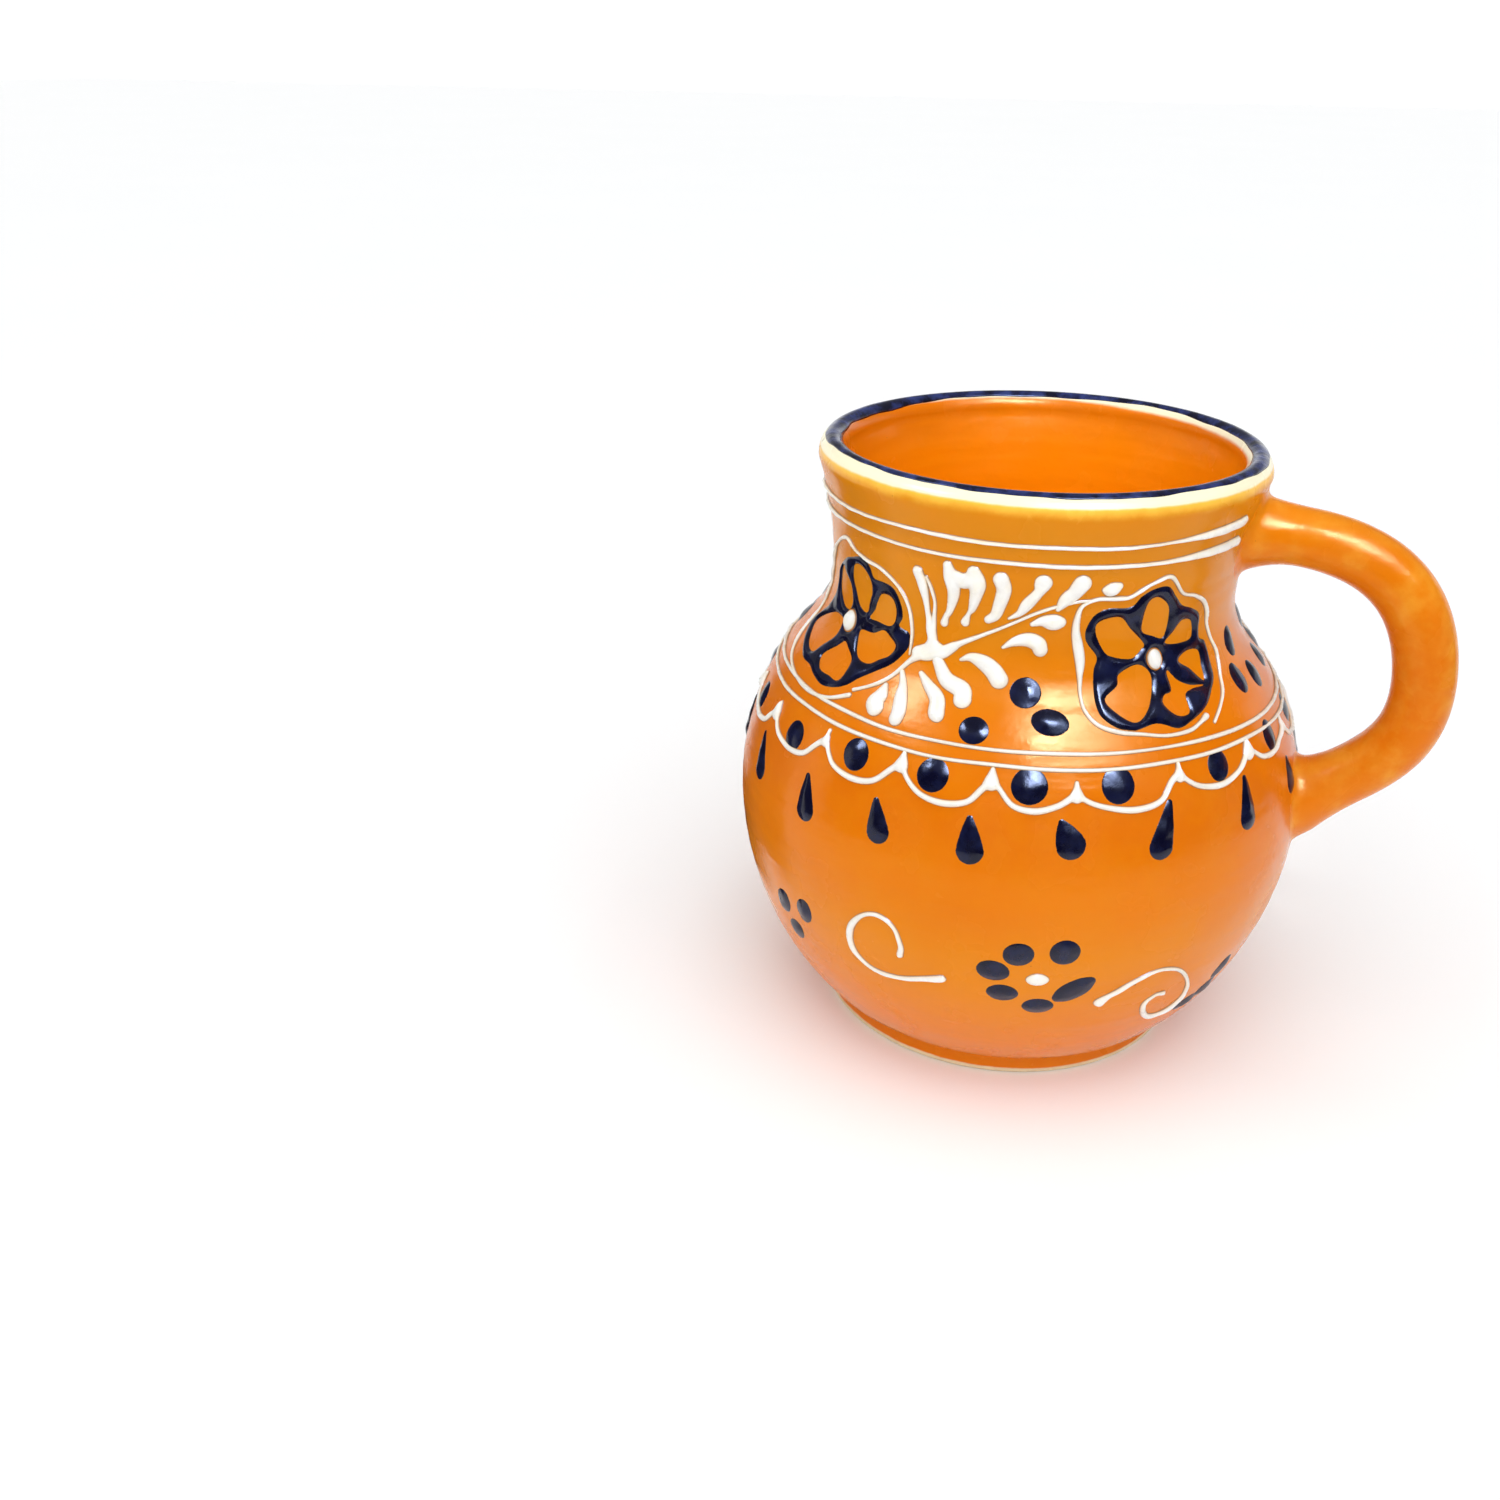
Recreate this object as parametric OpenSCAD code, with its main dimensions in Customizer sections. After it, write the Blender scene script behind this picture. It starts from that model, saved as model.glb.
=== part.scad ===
// Round-bellied clay mug with a coil handle and raised slip ornament.
// The origin is on the pot's axis at the foot, +Z is up and the handle points along +X.
// Places on the pot are given as [angle from the handle, height].

/* [Pot] */
// Height from the foot to the top of the lip
pot_h = 100; // [96:0.5:104]
// Largest radius, at the belly
belly_r = 47.1; // [45:0.1:50]
// Height of the largest radius
belly_z = 40; // [37:0.5:43]
// Radius of the arc below the largest radius
under_arc_r = 51.5; // [50:0.5:56]
// Smallest radius, at the neck
neck_r = 32.3; // [30:0.1:35]
// Depth of the smallest radius, the neck, under the top of the lip
neck_drop = 22; // [20:0.5:24]
// Radius of the hollow curve between belly and neck
neck_arc_r = 13.5; // [12:0.5:18]
// Radius of the curve that flares from the neck to the lip
flare_arc_r = 62; // [50:1:80]
// Wall thickness
wall = 4.2; // [3:0.1:5.5]
// Height of the rounded crown of the lip
lip_crown = 3; // [2:0.1:4]
// Thickness of the cobalt band on the lip
lip_band_t = 0.2; // [0.1:0.05:0.4]

/* [Foot] */
// Outer radius of the ring that the mug stands on
foot_r = 31; // [29:0.1:32]
// Height of the turned foot
foot_h = 4.6; // [4:0.1:6]
// How far the foot draws in above its edge
foot_waist = 0.3; // [0:0.1:1]
// Radius of the hollow corner between foot and belly
foot_cove = 2; // [1:0.1:2.5]
// Bevel at the edge of the foot
foot_bevel = 0.6; // [0.3:0.1:1]
// Width of the ring that touches the table
foot_ring_w = 5; // [3:0.1:7]
// Depth of the hollow inside the ring
foot_recess = 1.6; // [1:0.1:2.5]
// Thickness of the floor at the middle
floor_t = 5.5; // [4:0.1:7]
// How far the floor rises from its middle to the wall
floor_dish = 3; // [1:0.5:5]

/* [Handle] */
// Thickness of the handle at its upper end
handle_top_d = 9.2; // [8:0.1:11]
// Thickness of the handle at its lower end
handle_low_d = 9.5; // [8:0.1:11]
// Depth under the top of the lip where the handle leaves the pot
handle_top_drop = 11.6; // [10:0.1:13]
// Height over the largest radius where the handle ends
handle_low_rise = 2.1; // [0:0.1:4]
// Pull of the upper limb, out from the neck
top_pull = 41; // [38:0.1:46]
// Rise of the upper limb over its root
top_pull_rise = 3.8; // [1:0.1:6]
// Pull of the middle, out from the belly
mid_pull = 5.2; // [2:0.1:10]
// Height of the middle pull over the lower root
mid_pull_rise = 16.9; // [14:0.1:20]
// Pull of the lower limb, out from the belly
low_pull = 28.1; // [24:0.1:32]
// Height of the lower pull over the lower root
low_pull_rise = 20.3; // [17:0.1:24]
// How far the luted ends swell where they meet the pot
root_flare = 2.2; // [1:0.1:3]
// Length of that swelling
root_run = 8; // [5:0.5:12]

/* [Slip lines] */
// Width of the thin lines round neck and shoulder
line_w = 1.1; // [0.8:0.1:1.6]
// Height of the slip over the pot
slip_rise = 0.45; // [0.3:0.05:0.8]
// Depth of the upper neck line under the top of the lip
neck_line_drop = 7.5; // [6.5:0.1:9]
// Drop from the upper to the lower neck line
neck_line_gap = 2.8; // [2.3:0.1:4]
// Drop from the neck to the upper shoulder line
shoulder_line_drop = 14.6; // [13:0.1:16]
// Drop from the upper to the lower shoulder line
shoulder_line_gap = 1.9; // [1.6:0.1:2.2]
// Width of the scallop line
scallop_w = 1.5; // [1:0.1:2]
// Drop from the lower shoulder line to the scallops' cusps
scallop_gap = 1.4; // [1.3:0.1:2.1]
// Drop from a cusp to the bottom of a scallop
scallop_drop = 4.2; // [3:0.1:5]

/* [Dots and drops] */
// Width of a dot under a scallop
scallop_dot_w = 4.9; // [3.5:0.1:5.5]
// Drop from the cusps to the middles of those dots
scallop_dot_drop = 0.8; // [0.2:0.1:1.2]
// Length of a drop
drop_l = 8.4; // [6:0.1:10]
// Width of a drop
drop_w = 4.7; // [3.5:0.1:6]
// Drop from the cusps to the middles of the drops
drop_fall = 8.9; // [8.2:0.1:11]
// Width of a shoulder dot
shoulder_dot_w = 4.6; // [3:0.1:5]
// Width of a belly dot
belly_dot_w = 4.6; // [3:0.1:5]
// Height of a cobalt dot over the pot
dot_rise = 0.3; // [0.2:0.05:0.6]

/* [Flowers] */
// Drop from the neck to the flowers' middles
flower_drop = 2.7; // [1:0.1:4]
// Width of the white frame round a flower
frame_w = 26; // [24:0.5:28]
// Height of that frame
frame_h = 21.6; // [20:0.1:22]
// Width of a flower from petal to petal
flower_w = 21.5; // [19:0.5:22]
// Height of a flower
flower_h = 18; // [16:0.5:18.5]
// Width of the cobalt line round a petal
petal_line_w = 1.4; // [1:0.1:1.6]
// Width of the white dot in a flower
flower_dot_w = 2.6; // [2:0.1:3]

/* [Sprays] */
// Drop from the neck to the point that a spray grows from
spray_drop = 4.3; // [3:0.1:5]
// Reach of a spray's long stem
spray_w = 23; // [20:0.5:25]
// Height of a spray over its root
spray_h = 13.4; // [12:0.1:14]
// Width of the widest spray stroke
stroke_w = 2; // [1.4:0.1:2.4]

/* [Belly ornament] */
// Drop from the largest radius to the belly flowers' middles
daisy_drop = 11.2; // [9:0.1:13]
// Radius of the ring of dots
daisy_r = 6; // [5:0.1:7]
// Width of the white dot in a belly flower
daisy_dot_w = 3.4; // [2:0.1:4]
// Drop from the largest radius to a scroll's middle
scroll_drop = 10; // [9:0.1:12]
// Radius of a scroll's outer turn
scroll_r = 5.4; // [4.5:0.1:6]
// Length of a scroll's tail
scroll_tail = 8.5; // [6:0.1:9]
// Drop from the largest radius to the groups of three dots
trio_drop = 13; // [11:0.1:15]
// Distance of each dot from the middle of its three
trio_r = 3.6; // [3.2:0.1:4.5]

/* [Hidden] */

clay = [0.90, 0.50, 0.12];
cobalt = [0.10, 0.12, 0.32];
white_slip = [0.95, 0.94, 0.88];

degree = 180 / PI;
turn = 360;
round_fn = 96;
arc_step = 2;
cove_step = 15;

// Angles from the handle, in degrees
flower_angles = [-134.5, -44.5, 45.5, 135.5];
spray_angles = [-105.7, 74.3];
shoulder_trio_angles = [-80, 100, 180];
near_trio_angles = [-11.5, 11.5];
cusp_angles = [-161, -142, -122, -102.5, -84, -67, -46, -25, -6, 13, 33, 53, 73, 93, 113, 134, 156, 178];
daisy_angles = [-72, 48, 168];
scroll_places = [[-104, 1], [-43, -1], [20, 1], [77, -1], [140, 1], [-163, -1]];
belly_trio_angles = [-126.5, -26.5, 96, 119];
neck_line_end = 19;
drop_shift = -2;
trio_lean = -50;

// Heights that follow the lip, the neck and the belly
neck_z = pot_h - neck_drop;
handle_top_z = pot_h - handle_top_drop;
handle_low_z = belly_z + handle_low_rise;
neck_line_z = pot_h - neck_line_drop;
shoulder_line_z = neck_z - shoulder_line_drop;
scallop_z = shoulder_line_z - shoulder_line_gap - scallop_gap;
scallop_dot_z = scallop_z - scallop_dot_drop;
drop_z = scallop_z - drop_fall;
flower_z = neck_z - flower_drop;
spray_z = neck_z - spray_drop;
daisy_z = belly_z - daisy_drop;
scroll_z = belly_z - scroll_drop;
trio_z = belly_z - trio_drop;

// Centres and joins of the arcs that shape the pot
lip_z = pot_h - lip_band_t - lip_crown;
neck_reach = neck_r + neck_arc_r - belly_r;
neck_rise = neck_z - belly_z;
over_arc_r = (pow(neck_reach, 2) + pow(neck_rise, 2) - pow(neck_arc_r, 2)) / (2 * (neck_arc_r - neck_reach));
under_mid = [belly_r - under_arc_r, belly_z];
over_mid = [belly_r - over_arc_r, belly_z];
neck_mid = [neck_r + neck_arc_r, neck_z];
flare_mid = [neck_r + flare_arc_r, neck_z];
join_angle = atan2(neck_mid[1] - over_mid[1], neck_mid[0] - over_mid[0]);
join_z = over_mid[1] + over_arc_r * sin(join_angle);
foot_angle = asin((foot_h - belly_z) / under_arc_r);
flare_angle = 180 - asin((lip_z - neck_z) / flare_arc_r);

// Points along an arc, both ends included
function arc(mid, r, from, to, step = arc_step) =
    let (n = max(1, ceil(abs(to - from) / step)))
    [for (i = [0 : n]) let (a = from + (to - from) * i / n) mid + r * [cos(a), sin(a)]];

// Curve of the wall from the foot's cove to the lip, pushed in by a given depth
function wall_curve(depth, start) = concat(
    arc(under_mid, under_arc_r - depth, start, 0),
    arc(over_mid, over_arc_r - depth, arc_step, join_angle),
    arc(neck_mid, neck_arc_r + depth, join_angle + 180 - arc_step, 180),
    arc(flare_mid, flare_arc_r + depth, 180 - arc_step / 2, flare_angle));

// Radius of the pot's outside at a height
function pot_r(z) =
    z < belly_z ? under_mid[0] + sqrt(pow(under_arc_r, 2) - pow(z - belly_z, 2))
    : z < join_z ? over_mid[0] + sqrt(pow(over_arc_r, 2) - pow(z - belly_z, 2))
    : z < neck_z ? neck_mid[0] - sqrt(pow(neck_arc_r, 2) - pow(z - neck_z, 2))
    : flare_mid[0] - sqrt(pow(flare_arc_r, 2) - pow(z - neck_z, 2));

// Outward direction of the pot's surface at a height, as [out, up]
function pot_normal(z) =
    let (v = z < belly_z ? [pot_r(z), z] - under_mid
        : z < join_z ? [pot_r(z), z] - over_mid
        : z < neck_z ? neck_mid - [pot_r(z), z]
        : flare_mid - [pot_r(z), z])
    v / norm(v);

// Point on the pot at an angle and a height, lifted off the surface
function on_pot(a, z, lift = 0) =
    let (n = pot_normal(z), r = pot_r(z) + lift * n[0])
    [r * cos(a), r * sin(a), z + lift * n[1]];

// A point near the pot dropped on its surface, then lifted
function seated(p, lift = 0) = on_pot(atan2(p[1], p[0]), p[2], lift);

// Place beside another: x along the pot's girth and y up the pot, both measured on the pot
function beside(place, offset) =
    [place[0] + offset[0] / pot_r(place[1]) * degree, place[1] + offset[1] * pot_normal(place[1])[0]];

// Place beside another with y as plain height
function over(place, offset) =
    [place[0] + offset[0] / pot_r(place[1]) * degree, place[1] + offset[1]];

inside_angle = asin((foot_recess + floor_t + floor_dish - belly_z) / (under_arc_r - wall));
outside_curve = wall_curve(0, foot_angle);
inside_curve = wall_curve(wall, inside_angle);
lip_out = outside_curve[len(outside_curve) - 1];
lip_in = inside_curve[len(inside_curve) - 1];
lip_half = (lip_out[0] - lip_in[0]) / 2;
lip_mid = [lip_in[0] + lip_half, lip_z];
crown_steps = 15;
crown_angles = [for (i = [0 : crown_steps]) 180 * i / crown_steps];

function crown(a, lift) = lip_mid + [(lip_half + lift) * cos(a), (lip_crown + lift) * sin(a)];

foot_outline = concat(
    [[foot_r - foot_bevel, 0], [foot_r, foot_bevel]],
    arc([foot_r - foot_waist + foot_cove, foot_h - foot_cove], foot_cove, 180, 90, cove_step));

function backwards(list) = [for (i = [len(list) - 1 : -1 : 0]) list[i]];

module pot() {
    inside_wall = backwards([for (i = [0 : len(inside_curve) - 2]) inside_curve[i]]);
    crown_points = [for (i = [0 : len(crown_angles) - 1]) crown(crown_angles[i], 0)];
    ring_in = foot_r - foot_ring_w;
    recess = [[0, foot_recess], [ring_in - foot_recess, foot_recess], [ring_in, 0]];
    outline = concat(recess, foot_outline, [for (i = [0 : len(outside_curve) - 2]) outside_curve[i]],
        crown_points, inside_wall, [[0, foot_recess + floor_t]]);
    color(clay) rotate_extrude($fn = round_fn) polygon(outline);
}

// The pot's outside as one solid body, to trim what is luted on to it
module pot_body() {
    rotate_extrude($fn = round_fn) polygon(concat([[0, 0]], foot_outline, outside_curve, [[0, lip_z]]));
}

// Handle: one rolled coil along a curve drawn by five pull points
top_sink = 2.9;
low_sink = 6.9;
handle_pulls = [
    [pot_r(handle_top_z) - top_sink, handle_top_z],
    [pot_r(handle_top_z) + top_pull, handle_top_z + top_pull_rise],
    [belly_r + mid_pull, handle_low_z + mid_pull_rise],
    [belly_r + low_pull, handle_low_z + low_pull_rise],
    [pot_r(handle_low_z) - low_sink, handle_low_z]];
handle_rings = 36;
handle_sides = 18;

function pulled(p, t) =
    len(p) == 1 ? p[0] : pulled([for (i = [0 : len(p) - 2]) p[i] * (1 - t) + p[i + 1] * t], t);

function slope(p, t) = pulled([for (i = [0 : len(p) - 2]) p[i + 1] - p[i]], t);

// Half thickness of the coil, swelling close to the pot
function coil_r(p, t) =
    let (gap = max(0, p[0] - pot_r(p[1])), near = max(0, 1 - gap / root_run))
    (handle_top_d * (1 - t) + handle_low_d * t) / 2 + root_flare * near * near;

function coil_ring(t) =
    let (p = pulled(handle_pulls, t), s = slope(handle_pulls, t))
    let (u = [-s[1], s[0]] / norm(s), r = coil_r(p, t))
    [for (k = [0 : handle_sides - 1]) let (a = turn * k / handle_sides, q = p + r * cos(a) * u)
        [q[0], r * sin(a), q[1]]];

module handle() {
    rings = [for (i = [0 : handle_rings]) coil_ring(i / handle_rings)];
    color(clay) difference() {
        tube(rings);
        pot_body();
    }
}

// Closed tube through rings of points that have as many points each
module tube(rings) {
    m = len(rings[0]);
    last = len(rings) - 1;
    sides = [for (i = [0 : last - 1], j = [0 : m - 1]) let (k = (j + 1) % m)
        each [[i * m + j, (i + 1) * m + j, (i + 1) * m + k], [i * m + j, (i + 1) * m + k, i * m + k]]];
    start = [for (j = [1 : m - 2]) [0, j, j + 1]];
    end = [for (j = [1 : m - 2]) [last * m, last * m + j + 1, last * m + j]];
    polyhedron([for (r = rings) each r], concat(sides, start, end));
}

// As a tube, with its last ring joined to its first
module loop_tube(rings) {
    m = len(rings[0]);
    n = len(rings);
    sides = [for (i = [0 : n - 1], j = [0 : m - 1]) let (k = (j + 1) % m, h = (i + 1) % n)
        each [[i * m + j, h * m + j, h * m + k], [i * m + j, h * m + k, i * m + k]]];
    polyhedron([for (r = rings) each r], sides);
}

// Flat-topped section of a slip line, square to its run from one neighbour to the other
crest_share = 0.5;
function slip_section(before, here, after, half_w, rise) =
    let (p = on_pot(here[0], here[1]), n2 = pot_normal(here[1]))
    let (n = [n2[0] * cos(here[0]), n2[0] * sin(here[0]), n2[1]])
    let (run = on_pot(after[0], after[1]) - on_pot(before[0], before[1]))
    let (side = cross(run, n), b = side / norm(side))
    [seated(p - b * half_w), seated(p - b * half_w * crest_share, rise),
        seated(p + b * half_w * crest_share, rise), seated(p + b * half_w)];

// Slip line along places on the pot, with a half width at each place
module slip_line(places, half_ws, rise = slip_rise) {
    n = len(places);
    tube([for (i = [0 : n - 1])
        slip_section(places[max(0, i - 1)], places[i], places[min(n - 1, i + 1)], half_ws[i], rise)]);
}

// Slip line that closes on itself
module slip_loop(places, half_w, rise = slip_rise) {
    n = len(places);
    loop_tube([for (i = [0 : n - 1])
        slip_section(places[(i + n - 1) % n], places[i], places[(i + 1) % n], half_w, rise)]);
}

// Domed patch of slip: an outline of [along, up] offsets round a place
shoulder_share = 0.7;
shoulder_rise_share = 0.75;
module slip_patch(place, outline, rise) {
    n = len(outline);
    rim = [for (q = outline) let (s = beside(place, q)) on_pot(s[0], s[1])];
    brow_rise = rise * shoulder_rise_share;
    brow = [for (q = outline) let (s = beside(place, q * shoulder_share)) on_pot(s[0], s[1], brow_rise)];
    top = on_pot(place[0], place[1], rise);
    seat = on_pot(place[0], place[1]);
    base = [for (i = [0 : n - 1]) [i, (i + 1) % n, 2 * n + 1]];
    sides = [for (i = [0 : n - 1]) let (j = (i + 1) % n) each [[i, n + i, n + j], [i, n + j, j]]];
    cap = [for (i = [0 : n - 1]) [n + i, 2 * n, n + (i + 1) % n]];
    polyhedron(concat(rim, brow, [top, seat]), concat(base, sides, cap));
}

dot_points = 12;
dot_angles = [for (i = [0 : dot_points - 1]) turn * i / dot_points];
function oval(w, h) = [for (a = dot_angles) [w / 2 * cos(a), h / 2 * sin(a)]];
function drop(w, l) = [for (a = dot_angles) [-w / 2 * sin(a) * sqrt(abs(sin(a / 2))), l / 2 * cos(a)]];

module slip_dot(place, w, h, rise) {
    slip_patch(place, oval(w, h), rise);
}

// Three dots round a place, one of them on top when lean is zero
module trio(place, r, w, lean = 0) {
    for (k = [0 : 2]) {
        a = 90 + lean + turn * k / 3;
        slip_dot(beside(place, r * [cos(a), sin(a)]), w, w, dot_rise);
    }
}

// Cobalt band over the crown of the lip, thin as a brushed glaze, between two angles on the crown
band_angles = [70, 150];
module lip_band() {
    steps = 9;
    angles = [for (i = [0 : steps]) band_angles[0] + (band_angles[1] - band_angles[0]) * i / steps];
    color(cobalt) rotate_extrude($fn = round_fn)
        polygon(concat([for (a = angles) crown(a, 0)], backwards([for (a = angles) crown(a, lip_band_t)])));
}

// Section of a thin line at a height, drawn in the plane of the axis
function ring_section(z, half_w, rise) =
    let (n = pot_normal(z), s = [-n[1], n[0]] * half_w, crest = [pot_r(z), z] + n * rise)
    [[pot_r(z - s[1]), z - s[1]], crest - s * crest_share,
        crest + s * crest_share, [pot_r(z + s[1]), z + s[1]]];

module neck_lines() {
    color(white_slip) for (k = [0 : 1])
        rotate([0, 0, neck_line_end])
            rotate_extrude(angle = turn - 2 * neck_line_end, $fn = round_fn)
                polygon(ring_section(neck_line_z - k * neck_line_gap, line_w / 2, slip_rise));
}

module shoulder_lines() {
    color(white_slip) for (k = [0 : 1])
        rotate_extrude($fn = round_fn)
            polygon(ring_section(shoulder_line_z - k * shoulder_line_gap, line_w / 2, slip_rise));
}

function span(i) = (cusp_angles[(i + 1) % len(cusp_angles)] - cusp_angles[i] + turn) % turn;

module scallops() {
    steps = 8;
    clear_angle = 0.6 * scallop_w / pot_r(scallop_z) * degree;
    sag_share = 0.7;
    color(white_slip) for (i = [0 : len(cusp_angles) - 1])
        slip_line([for (k = [0 : steps]) let (u = k / steps)
                [cusp_angles[i] + clear_angle + (span(i) - 2 * clear_angle) * u,
                    scallop_z - scallop_drop * pow(abs(sin(180 * u)), sag_share)]],
            [for (k = [0 : steps]) scallop_w / 2]);
}

module scallop_dots() {
    color(cobalt) for (i = [0 : len(cusp_angles) - 1])
        slip_dot([cusp_angles[i] + span(i) / 2, scallop_dot_z], scallop_dot_w, scallop_dot_w, dot_rise);
}

module teardrops() {
    color(cobalt) for (a = cusp_angles)
        slip_patch([a + drop_shift, drop_z], drop(drop_w, drop_l), dot_rise);
}

module flower_frames() {
    points = 28;
    lobes = 7;
    lobe_share = 0.035;
    color(white_slip) for (f = flower_angles)
        slip_loop([for (i = [0 : points - 1])
                let (a = turn * i / points, s = (1 + lobe_share * cos(lobes * a)) / 2)
                over([f, flower_z], [frame_w * s * cos(a), frame_h * s * sin(a)])], line_w / 2);
}

// A petal is a loop of cobalt that leaves the clay bare inside
petals = 6;
petal_points = 12;
petal_near_share = 0.24;
petal_far_share = 0.92;
petal_half_share = 0.4;
function petal(lean) =
    [for (i = [0 : petal_points - 1])
        let (a = turn * i / petal_points)
        let (out = petal_near_share + (petal_far_share - petal_near_share) * (1 - cos(a)) / 2)
        let (off = petal_half_share * sin(a) * out)
        [out * cos(lean) - off * sin(lean), out * sin(lean) + off * cos(lean)]];

module flower_petals() {
    color(cobalt) for (f = flower_angles, k = [0 : petals - 1])
        slip_loop([for (s = petal(turn * (k + 0.5) / petals) / 2)
                over([f, flower_z], [s[0] * flower_w, s[1] * flower_h])], petal_line_w / 2, dot_rise);
}

module flower_centres() {
    color(white_slip) for (f = flower_angles)
        slip_dot([f, flower_z], flower_dot_w, flower_dot_w, slip_rise);
}

// Stems of a spray, in shares of its reach and height, from the root outwards
stem_shares = [
    [[0.05, 0.05], [0.25, 0.2], [0.5, 0.42], [0.75, 0.65], [1, 0.81]],
    [[0.01, 0.2], [0, 0.45], [0, 0.7], [0.01, 0.87]]];
stem_width_share = 0.35;

module spray_stems() {
    color(white_slip) for (f = spray_angles) {
        for (s = stem_shares)
            slip_line([for (q = s) over([f, spray_z], [q[0] * spray_w, q[1] * spray_h])],
                [for (q = s) stroke_w * stem_width_share]);
        slip_dot([f, spray_z], stroke_w, stroke_w, slip_rise);
    }
}

// Strokes of a spray, each from its fine end to its full end
stroke_shares = [
    [-0.05, 0.52, -0.11, 0.97], [0.12, 0.42, 0.2, 0.97], [0.24, 0.46, 0.31, 0.95],
    [0.41, 0.52, 0.46, 0.98], [0.56, 0.62, 0.76, 1], [0.76, 0.82, 0.94, 1.02],
    [0.76, 0.5, 0.86, 0.44], [0.6, 0.38, 0.72, 0.25], [0.27, 0.04, 0.53, -0.16],
    [0.12, -0.08, 0.37, -0.4], [0.04, -0.2, 0.2, -0.54], [-0.07, -0.25, -0.02, -0.66],
    [-0.17, -0.33, -0.25, -0.66]];
stroke_width_shares = [0.25, 0.7, 1, 0.85, 0.3];

module spray_strokes() {
    n = len(stroke_width_shares);
    color(white_slip) for (f = spray_angles, s = stroke_shares)
        slip_line([for (i = [0 : n - 1])
                let (u = i / (n - 1), x = s[0] + (s[2] - s[0]) * u, y = s[1] + (s[3] - s[1]) * u)
                over([f, spray_z], [x * spray_w, y * spray_h])],
            [for (w = stroke_width_shares) stroke_w / 2 * w]);
}

// Open groups of three dots between the flowers, and close ones beside the handle
open_trio_shares = [[0.2, 0.7], [1.05, -0.1], [-1.2, -0.55]];
near_trio_share = 0.72;
near_dot_share = 0.8;

module shoulder_dots() {
    mid_z = flower_z - frame_h / 3;
    color(cobalt) {
        for (a = shoulder_trio_angles, q = open_trio_shares)
            slip_dot(beside([a, mid_z], q * shoulder_dot_w), shoulder_dot_w, shoulder_dot_w, dot_rise);
        for (a = near_trio_angles)
            trio([a, mid_z + shoulder_dot_w / 3],
                shoulder_dot_w * near_trio_share, shoulder_dot_w * near_dot_share);
    }
}

module daisy_dots() {
    dots = 7;
    color(cobalt) for (d = daisy_angles, k = [0 : dots - 1]) {
        a = turn * (k + 0.4) / dots;
        slip_dot(beside([d, daisy_z], daisy_r * [cos(a), sin(a)]), belly_dot_w, belly_dot_w, dot_rise);
    }
}

module daisy_centres() {
    color(white_slip) for (d = daisy_angles)
        slip_dot([d, daisy_z], daisy_dot_w, daisy_dot_w, slip_rise);
}

// Scroll: a curl that opens into a tail, turned half round where its side is -1
scroll_steps = 18;
scroll_angles = [20, 276];
scroll_start_share = 0.45;
scroll_tail_steps = 4;
scroll_lift_share = 0.2;
function scroll_point(u) =
    let (a = scroll_angles[0] + (scroll_angles[1] - scroll_angles[0]) * u)
    let (r = scroll_r * (scroll_start_share + (1 - scroll_start_share) * min(1, 2 * u)))
    r * [cos(a), sin(a)];

module scrolls() {
    color(white_slip) for (s = scroll_places) {
        curl = [for (i = [0 : scroll_steps]) scroll_point(i / scroll_steps)];
        tail = [for (i = [1 : scroll_tail_steps])
            curl[scroll_steps] + scroll_tail * i / scroll_tail_steps * [1, scroll_lift_share]];
        slip_line([for (q = concat(curl, tail)) beside([s[0], scroll_z], s[1] * q)],
            [for (i = [0 : scroll_steps + scroll_tail_steps]) line_w / 2]);
    }
}

module belly_dots() {
    color(cobalt) for (a = belly_trio_angles)
        trio([a, trio_z], trio_r, belly_dot_w, trio_lean);
}

pot();
handle();
lip_band();
neck_lines();
shoulder_lines();
scallops();
scallop_dots();
teardrops();
flower_frames();
flower_petals();
flower_centres();
spray_stems();
spray_strokes();
shoulder_dots();
daisy_dots();
daisy_centres();
scrolls();
belly_dots();
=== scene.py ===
import math

import bpy
import numpy as np
from mathutils import Matrix, Vector


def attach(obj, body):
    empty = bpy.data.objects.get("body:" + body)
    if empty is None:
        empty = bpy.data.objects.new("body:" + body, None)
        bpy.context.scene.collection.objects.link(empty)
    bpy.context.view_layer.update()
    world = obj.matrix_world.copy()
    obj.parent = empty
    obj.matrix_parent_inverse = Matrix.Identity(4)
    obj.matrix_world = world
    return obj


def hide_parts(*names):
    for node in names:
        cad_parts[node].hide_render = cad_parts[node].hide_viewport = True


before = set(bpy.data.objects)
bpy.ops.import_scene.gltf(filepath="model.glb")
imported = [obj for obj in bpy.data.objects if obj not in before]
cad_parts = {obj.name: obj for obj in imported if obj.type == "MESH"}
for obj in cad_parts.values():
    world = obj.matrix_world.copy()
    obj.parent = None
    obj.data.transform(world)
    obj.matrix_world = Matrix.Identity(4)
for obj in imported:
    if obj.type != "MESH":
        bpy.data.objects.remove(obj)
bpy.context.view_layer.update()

# Round-bellied clay mug with a coil handle and raised slip ornament.
# Lengths are in millimetres, heights are over the table, and angles are in degrees from the handle.
# A place on the pot is (angle, height), and a brush point is (angle, height, half width).
MM = 0.001
RNG = np.random.default_rng(7)

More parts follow.
